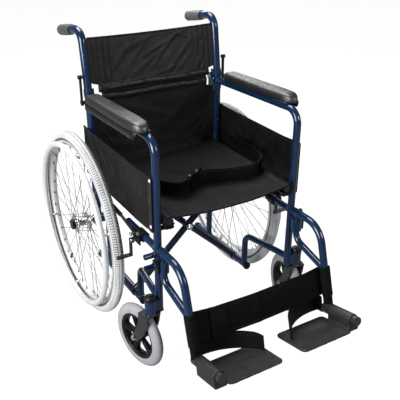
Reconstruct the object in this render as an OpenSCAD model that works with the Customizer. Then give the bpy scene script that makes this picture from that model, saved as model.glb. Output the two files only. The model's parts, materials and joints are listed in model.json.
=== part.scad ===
// Folding self-propelled wheelchair, steel tube frame. Millimetres, +Z up.
// The chair faces -Y. X is across the chair, and the right side is -X.
// Origin: on the floor, under the middle of the chair's length and width.
// Shapes are drawn about the rear axles, and placed() moves them to that origin.

/* [Overall] */
// sideways place of the side frame tubes
frame_x = 226; // [200:1:260]
// sideways place of the lower rails and the seat rails
rail_x = 195; // [170:1:220]
// height of the rear axles, half of the wheel diameter
axle_z = 300; // [280:1:320]
// how far the front posts stand ahead of the rear axles
post_y = -425; // [-460:1:-390]
// height of the lower rails
rail_z = 119; // [100:1:160]
// height of the seat rails
seat_z = 484; // [450:1:520]

/* [Tubes] */
// radius of the back tubes and push handles
back_r = 12; // [10:0.5:14]
// radius of the armrest, post and rail tubes
tube_r = 11; // [9:0.5:13]
// radius of the smaller welded tubes
small_r = 10; // [8:0.5:12]
// radius of the two crossing brace tubes
brace_r = 10.5; // [9:0.5:12]

/* [Back and armrests] */
// height at which the push handles fold down
fold_z = 709; // [690:1:730]
// backward lean of the upper back tubes, degrees
back_lean = 7.5; // [0:0.5:12]
// height of the push handle bend
handle_z = 904; // [860:1:950]
// droop of the push handles, degrees
handle_droop = 10.8; // [0:0.2:15]
// height of the armrest tube where it meets the back tube
arm_z = 697; // [670:1:720]
// height of the armrest tube above the front post
arm_front_z = 714; // [680:1:740]
// lower end of the front post
post_end_z = 206; // [195:1:230]

/* [Rear wheels] */
// sideways place of the tyre
wheel_x = 282; // [270:1:300]
// outside radius of the tyre
tyre_r = 300; // [280:1:310]
// half the width of the tyre
tyre_half = 16; // [12:0.5:20]
// inside radius of the rim
rim_in_r = 256; // [240:1:265]
// sideways place of the hand rim
handrim_x = 313.5; // [305:0.5:330]
// radius of the hand rim ring, to the middle of its tube
handrim_r = 261; // [240:1:270]
// number of spokes in one wheel
spoke_count = 36; // [24:4:40]

/* [Castors] */
// sideways place of the castor swivel
stem_x = 257; // [250:1:275]
// place of the castor swivel along the chair
stem_y = -430; // [-460:1:-400]
// outside radius of the castor
castor_r = 100; // [90:1:105]
// distance from the swivel to the castor axle
trail = 54; // [40:1:60]
// angle at which the castor stands turned outwards, degrees
castor_turn = 12; // [0:1:30]

/* [Footrests] */
// place of the footrest swing pivot along the chair
swing_y = -457; // [-465:1:-450]
// height of the footrest's upper tube
hanger_z = 406; // [395:1:420]
// lean of the footrest's lower tube from upright, degrees
hanger_lean = 17; // [10:1:25]
// upward tilt of the footplate, degrees
plate_tilt = 13; // [0:1:20]
// width of a footplate
plate_w = 171; // [140:1:178]
// depth of a footplate
plate_d = 129; // [110:1:150]

/* [Hidden] */
$fn = 64;

frame_blue = [0.09, 0.19, 0.40];
dark_blue = [0.07, 0.10, 0.22];
silver = [0.80, 0.81, 0.82];
tyre_grey = [0.62, 0.62, 0.63];
plastic_black = [0.06, 0.06, 0.06];
dark_grey = [0.22, 0.22, 0.23];
cloth_black = [0.05, 0.05, 0.05];
fit = 0.05;          // running clearance on the radius
weld = 0.05;         // gap between two welded pieces of one frame
middle_y = 226;      // distance from the rear axles forward to the middle of the chair

// hinge of the folding back
pivot_y = 16;
pivot_r = 4;
// lower tube of the footrest: passes through this point
lean_dir = [0, -sin(hanger_lean), -cos(hanger_lean)];
hanger_mid = [-frame_x, -590, 300];
hanger_top_y = hanger_mid[1] + (hanger_z - hanger_mid[2]) * tan(hanger_lean);
hanger_end = [-frame_x, hanger_mid[1] - 85 * tan(hanger_lean), hanger_mid[2] - 85];
slide_r = 8.5;
slide_end = hanger_end + lean_dir * 46;
// footplate hinge: passes through this point, along plate_dir
plate_at = [-frame_x + 4, -634, 172];
barrel_r = 17;
pin_r = 6;
// wheel lock
lock_x = -250;
lock_pivot = [lock_x, -330, 412];
shoe_pivot = [lock_x, -330, 392];
// brace geometry
span = 2 * rail_x;
brace_len = sqrt(span * span + (seat_z - rail_z) * (seat_z - rail_z));
brace_angle = atan((seat_z - rail_z) / span);
brace_a_y = -191;
brace_b_y = -167;
bolt_r = 5;

// ---------- helpers ----------
function unit(v) = v / norm(v);
function turn_of(u, w) = acos(max(-1, min(1, u * w)));

// turns the local axes onto ex, ey, ez, also when ex is upright
module axes_to(ex, ey, ez) {
  upright = abs(ex[2]) > 0.9999;
  b = asin(max(-1, min(1, -ex[2])));
  a = upright ? atan2(-sign(ex[2]) * ey[0], ey[1]) : atan2(ey[2], ez[2]);
  c = upright ? 0 : atan2(ex[1], ex[0]);
  rotate([a, b, c]) children();
}

// a straight round bar from p to q
module bar(p, q, r) {
  d = q - p;
  h = norm(d);
  translate(p)
    rotate([0, acos(d[2] / h), atan2(d[1], d[0])])
      cylinder(h = h, r = r);
}

// one bend of a tube at corner p, arriving along u and leaving along w
module bend_at(p, u, w, bend_r, r) {
  t = turn_of(u, w);
  m = unit(w - (w * u) * u);
  n = cross(u, m);
  start = p - u * bend_r * tan(t / 2);
  translate(start + m * bend_r)
    axes_to(-m, u, n)
      rotate_extrude(angle = t)
        translate([bend_r, 0]) circle(r);
}

// a tube through two straight stretches and one bend, where the tube is a hair thinner
module bent_tube(p0, p1, p2, bend_r, r) {
  u = unit(p1 - p0);
  w = unit(p2 - p1);
  cut = bend_r * tan(turn_of(u, w) / 2) - 1;
  bar(p0, p1 - u * cut, r);
  bend_at(p1, u, w, bend_r, r - 0.06);
  bar(p1 + w * cut, p2, r);
}

// a round bar along X from x0 to x1
module bar_x(x0, x1, y, z, r) {
  translate([min(x0, x1), y, z]) rotate([0, 90, 0]) cylinder(h = abs(x1 - x0), r = r);
}

// a round bar along Y from y0 to y1
module bar_y(x, y0, y1, z, r) {
  translate([x, max(y0, y1), z]) rotate([90, 0, 0]) cylinder(h = abs(y1 - y0), r = r);
}

// a box between two corners
module box(a, b) {
  translate([min(a[0], b[0]), min(a[1], b[1]), min(a[2], b[2])])
    cube([abs(b[0] - a[0]), abs(b[1] - a[1]), abs(b[2] - a[2])]);
}

// from the drawing's place about the rear axles to the part's origin
module placed() { translate([0, middle_y, 0]) children(); }

// the left side is the right side in a mirror
module left() { mirror([1, 0, 0]) children(); }

// a flat rounded rectangle, w by d, corner radius c, from the origin
module rounded(w, d, c) {
  translate([c, 0]) square([w - 2 * c, d]);
  translate([0, c]) square([w, d - 2 * c]);
  for (x = [c, w - c]) for (y = [c, d - c]) translate([x, y]) circle(c);
}

// ---------- side frame ----------
// lower back tube with the inner half of the folding hinge and its pin
module back_tube_shape() {
  difference() {
    union() {
      translate([-frame_x, 0, axle_z]) cylinder(h = fold_z - 0.5 - axle_z, r = back_r);
      box([-frame_x, -6, 664], [-205.5, 10, 690]);
      box([-209.5, -6, 664], [-205.5, 22, fold_z - 6]);
      bar_x(-209.5, -205.5, pivot_y, fold_z, 13);
      bar_x(-236, -246, 2, 694, 6);
    }
    bar_x(-300, -150, 0, axle_z, 16 + weld);
  }
  bar_x(-215.5, -206, pivot_y, fold_z, pivot_r);
}

// armrest tube and front post in one bent tube, with the lock tube, two lugs,
// the footrest socket and the castor housing
module arm_tube_shape() {
  difference() {
    union() {
      bent_tube([-frame_x, 0, arm_z], [-frame_x, post_y, arm_front_z],
        [-frame_x, post_y, post_end_z], 42, tube_r);
      bar([-frame_x, post_y, 402], [-frame_x, -243, 402], small_r);
      bar_x(-frame_x, -267, post_y, 388, 8);
      bar_x(-frame_x, -267, post_y, 352, 8);
      // socket in which the footrest swings
      translate([-frame_x, swing_y, 348]) cylinder(h = 38, r = 15);
      box([-frame_x - 5, swing_y + 8, 350], [-frame_x + 5, post_y, 384]);
      bar_x(-237, -249, swing_y, 367, 3);
      // castor housing
      translate([-stem_x, stem_y, post_end_z]) cylinder(h = 44, r = 16);
      box([-stem_x, stem_y - 9, 213], [-frame_x, stem_y + 9, 247]);
    }
    translate([-stem_x, stem_y, 200]) cylinder(h = 60, r = 8 + fit);
    translate([-frame_x, 0, 600]) cylinder(h = 200, r = back_r + weld);
    translate([-frame_x, swing_y, 300]) cylinder(h = 120, r = small_r + fit);
  }
}

// lower rail, rear post, step tube and axle sleeve
module lower_frame_shape() {
  difference() {
    union() {
      bar_y(-rail_x, -252, 62, rail_z, tube_r);
      translate([-rail_x, -12, rail_z]) cylinder(h = 440 - rail_z, r = small_r);
      bent_tube([-rail_x, -240, rail_z], [-rail_x, -240, 232], [-frame_x, post_y, 238], 30, small_r);
      bar_x(-240, -184, 0, axle_z, 16);
      box([-frame_x, -6, 404], [-rail_x, 4, 430]);
    }
    translate([-frame_x, 0, 350]) cylinder(h = 100, r = back_r + weld);
    translate([-frame_x, post_y, 190]) cylinder(h = 100, r = tube_r + weld);
    bar_x(-245, -170, 0, axle_z, pin_r + weld);
  }
}

// end caps, the seat saddles and the bracket of the wheel lock
module black_fittings_shape() {
  translate([-rail_x, -262, rail_z]) rotate([-90, 0, 0]) cylinder(h = 9.9, r = 12.5);
  translate([-rail_x, 62.1, rail_z]) rotate([-90, 0, 0]) cylinder(h = 16, r = 13);
  difference() {
    translate([-stem_x, stem_y, 250.1]) cylinder(h = 12.9, r = 17);
    translate([-stem_x, stem_y, 250]) cylinder(h = 9, r = 9.5);
  }
  // saddles: front on the post, rear on the rear post
  difference() {
    box([-218, -438, 452], [-180, -412, seat_z - tube_r - 0.3]);
    translate([-frame_x, post_y, 440]) cylinder(h = 60, r = tube_r + weld);
  }
  box([-208, -24, 440.1], [-182, 2, seat_z - tube_r - 0.3]);
  // plug in the end of the lock tube
  translate([-frame_x, -242.9, 402]) rotate([-90, 0, 0]) cylinder(h = 6, r = 10.5);
  // lock bracket: clamp round the lock tube, plate and two pins
  difference() {
    union() {
      box([-241, -352, 388], [-212, -312, 416]);
      box([-245, -352, 380], [-241, -308, 424]);
      bar_x(-245, -262, lock_pivot[1], lock_pivot[2], 4);
      bar_x(-245, -262, shoe_pivot[1], shoe_pivot[2], 4);
    }
    bar_y(-frame_x, -380, -290, 402, small_r + weld);
  }
}

module axle_shape() {
  bar_x(-175, -312, 0, axle_z, pin_r);
  bar_x(-174, -183.9, 0, axle_z, 11);
  bar_x(-240.1, -246, 0, axle_z, 10);
}

// ---------- soft and padded pieces of the side ----------
module arm_pad_shape() {
  slope = atan((arm_front_z - arm_z) / post_y);
  translate([-frame_x, 0, arm_z]) rotate([slope, 0, 0]) {
    // base plate and the crowned pad
    translate([-21, -398, tube_r + 0.2]) cube([42, 376, 6]);
    translate([0, -19, 0]) rotate([90, 0, 0]) linear_extrude(391)
      union() {
        translate([-27, tube_r + 6.2]) square([54, 15]);
        intersection() {
          translate([-27, tube_r + 21.2]) square([54, 20]);
          translate([0, tube_r + 21.2 - 26]) circle(37.5);
        }
      }
  }
}

module side_panel_shape() {
  box([-240.5, post_y - 3, 456], [-238.2, 28, 616]);
}

// ---------- rear wheel ----------
module on_axle() { translate([-wheel_x, 0, axle_z]) rotate([0, 90, 0]) children(); }

module tyre_shape() {
  on_axle() rotate_extrude($fn = 96)
    difference() {
      translate([tyre_r - tyre_half, 0]) circle(tyre_half);
      translate([0, -30]) square([270, 60]);
    }
}

module rim_shape() {
  on_axle() rotate_extrude($fn = 96)
    polygon([[rim_in_r, -8], [262, -12.5], [269.9, -12.5], [269.9, 12.5], [262, 12.5], [rim_in_r, 8]]);
}

// half of the spokes pull forwards and half pull back, from two flanges
module spokes_shape() {
  per = spoke_count / 4;
  on_axle()
    for (side = [-1, 1]) for (pull = [-1, 1]) for (i = [0 : per - 1]) {
      rim_a = i * 360 / per + (side > 0 ? 20 : 0) + (pull > 0 ? 10 : 0);
      hub_a = rim_a + pull * 62;
      bar([25 * cos(hub_a), 25 * sin(hub_a), side * 20 + pull * 2.9],
        [(rim_in_r - 0.2) * cos(rim_a), (rim_in_r - 0.2) * sin(rim_a), side * 3 + pull * 1.4], 1);
    }
}

module hub_shape() {
  difference() {
    union() {
      bar_x(-256, -308, 0, axle_z, 14);
      bar_x(-wheel_x + 18.6, -wheel_x + 21.4, 0, axle_z, 29);
      bar_x(-wheel_x - 21.4, -wheel_x - 18.6, 0, axle_z, 29);
      bar_x(-308, -318, 0, axle_z, 17);
    }
    bar_x(-250, -314, 0, axle_z, pin_r + fit);
  }
}

module hand_rim_shape() {
  translate([-handrim_x, 0, axle_z]) rotate([0, 90, 0])
    rotate_extrude($fn = 96) translate([handrim_r, 0]) circle(9);
  for (i = [0 : 5])
    translate([0, 0, axle_z]) rotate([i * 60 + 12, 0, 0])
      bar_x(-wheel_x - 12.7, -handrim_x, 0, handrim_r, 3.5);
}

// ---------- castor ----------
// everything of the castor is drawn trailing along +Y, then turned about the swivel
module at_stem() {
  translate([-stem_x, stem_y, 0]) rotate([0, 0, castor_turn]) children();
}

// outline of one fork leg in its own plane: u runs back, v runs up
function leg_mid(t) = [
  (1 - t) * (1 - t) * 6 + 2 * t * (1 - t) * 10 + t * t * trail,
  (1 - t) * (1 - t) * 205 + 2 * t * (1 - t) * 140 + t * t * castor_r];
function leg_way(t) = unit([
  2 * (1 - t) * 4 + 2 * t * (trail - 10),
  2 * (1 - t) * -65 + 2 * t * (castor_r - 140)]);
function leg_side(t, s) = leg_mid(t)
  + s * (20 - 9 * t) * [-leg_way(t)[1], leg_way(t)[0]];

module castor_fork_shape() {
  steps = 8;
  at_stem() {
    difference() {
      union() {
        intersection() {
          for (x = [-24, 19]) translate([x, 0, 0]) rotate([90, 0, 90])
            linear_extrude(5) {
              polygon(concat(
                [for (i = [0 : steps]) leg_side(i / steps, -1)],
                [for (i = [steps : -1 : 0]) leg_side(i / steps, 1)]));
              translate([trail, castor_r]) circle(14);
            }
          translate([-40, -60, 60]) cube([80, 160, 145]);
        }
        translate([-24, -13, 199.5]) cube([48, 36, 5.5]);
      }
    }
    translate([0, 0, 204]) cylinder(h = 50, r = 8);
    bar_x(-29, 29, trail, castor_r, 6);
    for (x = [-28, 24]) bar_x(x, x + 4, trail, castor_r, 9);
  }
}

module castor_tyre_shape() {
  at_stem() translate([0, trail, castor_r]) rotate([0, 90, 0]) rotate_extrude()
    difference() {
      intersection() {
        translate([castor_r - 30, 0]) circle(30);
        translate([66, -14]) square([40, 28]);
      }
      translate([0, -20]) square([72, 40]);
    }
}

module castor_hub_shape() {
  at_stem() translate([0, trail, castor_r]) rotate([0, 90, 0]) {
    difference() {
      union() {
        rotate_extrude() translate([60, -13]) square([11.9, 26]);
        cylinder(h = 34, r = 17, center = true);
        for (i = [0 : 4]) rotate([0, 0, i * 72 + 18])
          translate([10, -6, -8]) cube([54, 12, 16]);
      }
      cylinder(h = 60, r = 6 + fit, center = true);
    }
  }
}

// ---------- wheel lock ----------
module lock_lever_shape() {
  difference() {
    union() {
      bar_x(-247, -252, lock_pivot[1], lock_pivot[2], 11);
      bar([lock_x, -326, 416], [-257, -258, 440], 4.5);
      bar([-257, -258, 440], [-257, -198, 444], 6.5);
    }
    bar_x(-240, -270, lock_pivot[1], lock_pivot[2], 4 + fit);
  }
}

module lock_shoe_shape() {
  difference() {
    union() {
      bar_x(-253.5, -258.5, shoe_pivot[1], shoe_pivot[2], 8.5);
      box([-258.5, -322, 334], [-253.5, -310, 390]);
      bar_x(-253.5, -298, -311, 334, 6);
    }
    bar_x(-240, -270, shoe_pivot[1], shoe_pivot[2], 4 + fit);
  }
}

// ---------- footrest ----------
module hanger_shape() {
  difference() {
    union() {
      bent_tube([-frame_x, swing_y + 16, hanger_z], [-frame_x, hanger_top_y, hanger_z],
        hanger_end, 70, tube_r);
      bent_tube([-frame_x, swing_y, hanger_z], [-frame_x, swing_y, 318],
        [-frame_x, -591, 284], 34, small_r);
    }
    bar(hanger_end - lean_dir * 143, hanger_end + lean_dir * 5, slide_r + fit);
  }
}

// thumb latch that holds the footrest in its socket
module hanger_latch_shape() {
  difference() {
    union() {
      box([-247, swing_y - 7, 350], [-241.5, swing_y + 7, 392]);
      box([-256, swing_y - 7, 386], [-241.5, swing_y + 7, 392]);
    }
    bar_x(-230, -260, swing_y, 367, 3 + fit);
  }
}

// the frame moves the hinge pin of the footplate and the slide tube together
module on_plate_line() { translate(plate_at) rotate([-plate_tilt, 0, 0]) children(); }

module footrest_tube_shape() {
  bar(hanger_end - lean_dir * 100, slide_end, slide_r);
  difference() {
    on_plate_line() bar_y(0, 14, -12, 0, barrel_r);
    bar(hanger_end - lean_dir * 100, slide_end, slide_r - 0.02);
  }
  on_plate_line() {
    bar_y(0, -11, -104, 0, pin_r);
    bar_y(0, -103.2, -118, 0, 14);
  }
}

// plate with a deep housing along its outer edge, round on top, bored for the pin
module footplate_shape() {
  on_plate_line()
    difference() {
      union() {
        bar_y(0, -12.5, -102.7, 0, barrel_r);
        box([-barrel_r, -102.7, -33], [barrel_r, -12.5, 0]);
        translate([18, -117, -28]) linear_extrude(8) rounded(plate_w, plate_d, 14);
        box([4, -100, -27], [26, -15, -21]);
      }
      bar_y(0, 20, -130, 0, pin_r + fit);
    }
}

// ---------- folding cross ----------
// brace A turns on the right lower rail and carries the left seat rail
module cross_brace_a() {
  color(dark_blue) placed() difference() {
    union() {
      bar_y(-rail_x, -203, -70, rail_z, 14);
      bar([-rail_x, brace_a_y, rail_z], [rail_x, brace_a_y, seat_z], brace_r);
      bar_y(rail_x, -440, -27, seat_z, tube_r);
      bar_y(0, brace_a_y - 4, brace_b_y - brace_r - 0.2, (rail_z + seat_z) / 2, 12);
      bar_y(0, brace_a_y - 14, brace_b_y + 16, (rail_z + seat_z) / 2, bolt_r);
      bar_y(0, brace_a_y - 18, brace_a_y - brace_r + 1, (rail_z + seat_z) / 2, 9);
    }
    bar_y(-rail_x, -220, -50, rail_z, tube_r + fit);
  }
}

// brace B turns on the left lower rail and carries the right seat rail
module cross_brace_b() {
  color(dark_blue) placed() difference() {
    union() {
      bar_y(rail_x, -179, -46, rail_z, 14);
      bar([rail_x, brace_b_y, rail_z], [-rail_x, brace_b_y, seat_z], brace_r);
      bar_y(-rail_x, -440, -27, seat_z, tube_r);
    }
    bar_y(rail_x, -200, -30, rail_z, tube_r + fit);
    bar_y(0, -200, -130, (rail_z + seat_z) / 2, bolt_r + fit);
  }
}

// ---------- folding back ----------
handle_corner = [-frame_x, (handle_z - fold_z) * tan(back_lean), handle_z];
handle_dir = [0, cos(handle_droop), -sin(handle_droop)];
handle_end = handle_corner + handle_dir * 168;

module push_handle_shape() {
  lean = [0, sin(back_lean), cos(back_lean)];
  foot = [-frame_x, 0, fold_z];
  difference() {
    union() {
      bent_tube(foot, handle_corner, handle_end, 38, back_r);
      bar(foot, foot + lean * 24, 14);
      box([-frame_x, -4, fold_z + 2], [-210, 14, fold_z + 26]);
      bar_x(-213.9, -210, pivot_y, fold_z, 13);
    }
    // flat foot of the tube, with the hinge pin's hole
    box([-250, -40, fold_z - 30], [-213.95, 40, fold_z + 0.5]);
    bar_x(-230, -200, pivot_y, fold_z, pivot_r + fit);
  }
}

module grip_shape() {
  difference() {
    bar(handle_end - handle_dir * 88, handle_end + handle_dir * 4, 17);
    bar(handle_end - handle_dir * 96, handle_end, back_r + weld);
  }
}

module back_release_shape() {
  difference() {
    union() {
      bar_x(-246.3, -251, 2, 694, 9);
      box([-251, -3, 694], [-246.3, 7, 772]);
      bar_x(-243, -255, 2, 772, 6);
    }
    bar_x(-235, -249, 2, 694, 6 + fit);
  }
}

// ---------- seat, back, straps ----------
module seat_sling() {
  color(cloth_black) placed()
    box([-208, -446, seat_z + tube_r + 0.3], [208, -22, seat_z + tube_r + 12]);
}

module back_upper() {
  color(cloth_black) placed() translate([0, 0, fold_z]) rotate([-back_lean, 0, 0])
    box([-208, -6, 14], [208, 6, 172]);
}

module back_lower() {
  color(cloth_black) placed() {
    box([-201, -6, seat_z + 28], [201, 6, fold_z - 3]);
    // the middle hangs down behind the seat's rear edge, clear of the seat rails
    box([-172, -6, seat_z - 16], [172, 6, seat_z + 28.1]);
  }
}

// strap band: a sleeve round the footrest tube and a flat band to the middle
module calf_strap_shape() {
  difference() {
    translate(hanger_mid) rotate([-hanger_lean, 0, 0]) translate([0, 0, -96])
      difference() {
        union() {
          cylinder(h = 88, r = 14.5);
          translate([12, -3, 0]) cube([frame_x - 13, 6, 88]);
        }
        translate([0, 0, -1]) cylinder(h = 90, r = tube_r + 0.3);
      }
    bar([-frame_x, swing_y, 318], [-frame_x, -591, 284], small_r + 0.3);
  }
}

// upright band behind the heel, from beside the upright to the plate's inner edge
module heel_loop_shape() {
  on_plate_line() {
    translate([30.7, -115, -19.6])
      rotate_extrude(angle = 72, start = 25) translate([159.5, 0]) square([3, 50]);
    box([10, 21, -19.6], [13, 45, 30.4]);
  }
}

// a belt lying on its edge along a route, 3 mm thick and 46 mm high
module belt_on_edge(route) {
  translate([0, 0, seat_z + tube_r + 12.3])
    for (i = [1 : len(route) - 1]) {
      way = unit(route[i] - route[i - 1]);
      side = [-way[1], way[0]] * 1.5;
      linear_extrude(46)
        polygon([route[i - 1] - side, route[i] + way * 1.5 - side,
          route[i] + way * 1.5 + side, route[i - 1] + side]);
    }
}

// ---------- one module per sub-part ----------
module back_tube_right() { color(frame_blue) placed() back_tube_shape(); }
module arm_tube_right() { color(frame_blue) placed() arm_tube_shape(); }
module lower_frame_right() { color(frame_blue) placed() lower_frame_shape(); }
module black_fittings_right() { color(plastic_black) placed() black_fittings_shape(); }
module axle_right() { color(silver) placed() axle_shape(); }
module arm_pad_right() { color(plastic_black) placed() arm_pad_shape(); }
module side_panel_right() { color(cloth_black) placed() side_panel_shape(); }
module back_tube_left() { color(frame_blue) placed() left() back_tube_shape(); }
module arm_tube_left() { color(frame_blue) placed() left() arm_tube_shape(); }
module lower_frame_left() { color(frame_blue) placed() left() lower_frame_shape(); }
module black_fittings_left() { color(plastic_black) placed() left() black_fittings_shape(); }
module axle_left() { color(silver) placed() left() axle_shape(); }
module arm_pad_left() { color(plastic_black) placed() left() arm_pad_shape(); }
module side_panel_left() { color(cloth_black) placed() left() side_panel_shape(); }
module tyre_right() { color(tyre_grey) placed() tyre_shape(); }
module rim_right() { color(silver) placed() rim_shape(); }
module spokes_right() { color(silver) placed() spokes_shape(); }
module hub_right() { color(silver) placed() hub_shape(); }
module hand_rim_right() { color(silver) placed() hand_rim_shape(); }
module tyre_left() { color(tyre_grey) placed() left() tyre_shape(); }
module rim_left() { color(silver) placed() left() rim_shape(); }
module spokes_left() { color(silver) placed() left() spokes_shape(); }
module hub_left() { color(silver) placed() left() hub_shape(); }
module hand_rim_left() { color(silver) placed() left() hand_rim_shape(); }
module castor_fork_right() { color(dark_grey) placed() castor_fork_shape(); }
module castor_tyre_right() { color(tyre_grey) placed() castor_tyre_shape(); }
module castor_hub_right() { color(plastic_black) placed() castor_hub_shape(); }
module castor_fork_left() { color(dark_grey) placed() left() castor_fork_shape(); }
module castor_tyre_left() { color(tyre_grey) placed() left() castor_tyre_shape(); }
module castor_hub_left() { color(plastic_black) placed() left() castor_hub_shape(); }
module lock_lever_right() { color(plastic_black) placed() lock_lever_shape(); }
module lock_shoe_right() { color(plastic_black) placed() lock_shoe_shape(); }
module lock_lever_left() { color(plastic_black) placed() left() lock_lever_shape(); }
module lock_shoe_left() { color(plastic_black) placed() left() lock_shoe_shape(); }
module hanger_right() { color(frame_blue) placed() hanger_shape(); }
module hanger_latch_right() { color(plastic_black) placed() hanger_latch_shape(); }
module footrest_tube_right() { color(dark_grey) placed() footrest_tube_shape(); }
module footplate_right() { color(dark_grey) placed() footplate_shape(); }
module hanger_left() { color(frame_blue) placed() left() hanger_shape(); }
module hanger_latch_left() { color(plastic_black) placed() left() hanger_latch_shape(); }
module footrest_tube_left() { color(dark_grey) placed() left() footrest_tube_shape(); }
module footplate_left() { color(dark_grey) placed() left() footplate_shape(); }
module push_handle_right() { color(frame_blue) placed() push_handle_shape(); }
module grip_right() { color(plastic_black) placed() grip_shape(); }
module back_release_right() { color(plastic_black) placed() back_release_shape(); }
module push_handle_left() { color(frame_blue) placed() left() push_handle_shape(); }
module grip_left() { color(plastic_black) placed() left() grip_shape(); }
module back_release_left() { color(plastic_black) placed() left() back_release_shape(); }
module calf_strap_right() { color(cloth_black) placed() calf_strap_shape(); }
module calf_strap_left() { color(cloth_black) placed() left() calf_strap_shape(); }
module heel_loop_right() { color(cloth_black) placed() heel_loop_shape(); }
module heel_loop_left() { color(cloth_black) placed() left() heel_loop_shape(); }
module lap_belt_right() {
  color(cloth_black) placed()
    belt_on_edge([[-203, -230], [-188, -264], [-158, -300], [-98, -332], [-40, -304]]);
}
module lap_belt_left() {
  color(cloth_black) placed()
    belt_on_edge([[203, -130], [203, -262], [170, -332], [128, -340], [60, -316], [-34, -292]]);
}

back_tube_right();
arm_tube_right();
lower_frame_right();
black_fittings_right();
axle_right();
arm_pad_right();
side_panel_right();
back_tube_left();
arm_tube_left();
lower_frame_left();
black_fittings_left();
axle_left();
arm_pad_left();
side_panel_left();
tyre_right();
rim_right();
spokes_right();
hub_right();
hand_rim_right();
tyre_left();
rim_left();
spokes_left();
hub_left();
hand_rim_left();
castor_fork_right();
castor_tyre_right();
castor_hub_right();
castor_fork_left();
castor_tyre_left();
castor_hub_left();
lock_lever_right();
lock_shoe_right();
lock_lever_left();
lock_shoe_left();
hanger_right();
hanger_latch_right();
footrest_tube_right();
footplate_right();
hanger_left();
hanger_latch_left();
footrest_tube_left();
footplate_left();
cross_brace_a();
cross_brace_b();
push_handle_right();
grip_right();
back_release_right();
push_handle_left();
grip_left();
back_release_left();
seat_sling();
back_upper();
back_lower();
calf_strap_right();
calf_strap_left();
heel_loop_right();
heel_loop_left();
lap_belt_right();
lap_belt_left();
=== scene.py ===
"""Looks of the folding wheelchair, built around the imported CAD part.

Shapes are drawn in millimetres about the rear axles, as in the part's source, for the
right side (x below zero). place() brings them to the part's frame in metres.
"""

import json
from math import atan, atan2, cos, degrees, pi, radians, sin, tan

import bpy
import numpy as np
from mathutils import Matrix, Vector

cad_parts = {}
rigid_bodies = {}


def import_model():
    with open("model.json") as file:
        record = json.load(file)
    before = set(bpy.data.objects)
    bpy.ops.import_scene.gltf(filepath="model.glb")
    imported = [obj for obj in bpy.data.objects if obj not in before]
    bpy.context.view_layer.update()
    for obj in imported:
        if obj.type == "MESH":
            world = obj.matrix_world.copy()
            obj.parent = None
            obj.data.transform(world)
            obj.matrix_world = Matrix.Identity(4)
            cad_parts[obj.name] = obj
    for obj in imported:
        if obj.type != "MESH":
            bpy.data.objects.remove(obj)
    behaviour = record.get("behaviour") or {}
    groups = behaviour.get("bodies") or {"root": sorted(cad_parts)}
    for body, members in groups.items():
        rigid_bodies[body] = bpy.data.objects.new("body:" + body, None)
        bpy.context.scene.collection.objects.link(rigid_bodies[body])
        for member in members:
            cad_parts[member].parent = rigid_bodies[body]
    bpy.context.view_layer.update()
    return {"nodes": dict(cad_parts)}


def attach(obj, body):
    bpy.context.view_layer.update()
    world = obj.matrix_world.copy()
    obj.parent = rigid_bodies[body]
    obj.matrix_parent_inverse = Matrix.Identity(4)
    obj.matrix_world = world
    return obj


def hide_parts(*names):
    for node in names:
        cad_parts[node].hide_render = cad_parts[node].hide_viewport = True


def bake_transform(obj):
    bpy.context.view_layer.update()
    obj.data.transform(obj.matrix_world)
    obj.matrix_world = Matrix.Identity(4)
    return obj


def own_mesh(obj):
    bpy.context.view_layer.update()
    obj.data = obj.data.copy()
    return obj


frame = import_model()
nodes = frame["nodes"]

# ---------- the part's own sizes, in millimetres ----------
MIDDLE_Y = 226.0
FRAME_X, RAIL_X, AXLE_Z, POST_Y, RAIL_Z, SEAT_Z = 226.0, 195.0, 300.0, -425.0, 119.0, 484.0
TUBE_R, SMALL_R = 11.0, 10.0
FOLD_Z, BACK_LEAN, PIVOT_Y = 709.0, 7.5, 16.0
ARM_Z, ARM_FRONT_Z = 697.0, 714.0
WHEEL_X, TYRE_R, TYRE_HALF, RIM_IN_R = 282.0, 300.0, 16.0, 256.0
HANDRIM_R = 261.0
STEM_X, STEM_Y, CASTOR_R, TRAIL, CASTOR_TURN = 257.0, -430.0, 100.0, 54.0, 12.0
HANGER_LEAN = 17.0
HANGER_MID = np.array([-FRAME_X, -590.0, 300.0])
PLATE_AT, PLATE_TILT = np.array([-FRAME_X + 4, -634.0, 172.0]), 13.0
SIGN = {"right": 1, "left": -1}


# ---------- mesh helpers ----------
def arr(*p):
    return np.array(p, float)


X, Y, Z = arr(1, 0, 0), arr(0, 1, 0), arr(0, 0, 1)


def unit(x):
    """Values kept from 0 to 1."""
    return np.clip(x, 0, 1)


def place(v):
    """From the drawing's millimetres to the frame's metres."""
    v = np.array(v, float).reshape(-1, 3).copy()
    v[:, 1] += MIDDLE_Y
    return v / 1000


def joined(*parts):
    verts, faces, n = [], [], 0
    for v, f in parts:
        v = np.array(v, float).reshape(-1, 3)
        verts.append(v)
        faces += [tuple(i + n for i in g) for g in f]
        n += len(v)
    return np.vstack(verts), faces


def turned(part, angle, axis, move=(0, 0, 0)):
    m = np.array(Matrix.Rotation(radians(angle), 3, Vector(axis)))
    return np.array(part[0], float) @ m.T + move, part[1]


def swapped(part, order):
    """The same part with its axes in another order, so that prism() serves every plane."""
    return np.array(part[0], float)[:, order], part[1]


def strip_faces(rows, cols, close_rows=False, close_cols=False):
    faces = []
    for i in range(rows if close_rows else rows - 1):
        for j in range(cols if close_cols else cols - 1):
            a, b = i * cols + j, i * cols + (j + 1) % cols
            c, d = ((i + 1) % rows) * cols + (j + 1) % cols, ((i + 1) % rows) * cols + j
            faces.append((a, b, c, d))
    return faces


def tube_faces(n, m, outward=True):
    """Faces of n rings of m points each, closed at both ends."""
    faces = strip_faces(n, m, close_cols=True)
    faces += [tuple(range(m))[::-1], tuple(range((n - 1) * m, n * m))]
    return faces if outward else [g[::-1] for g in faces]


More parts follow.
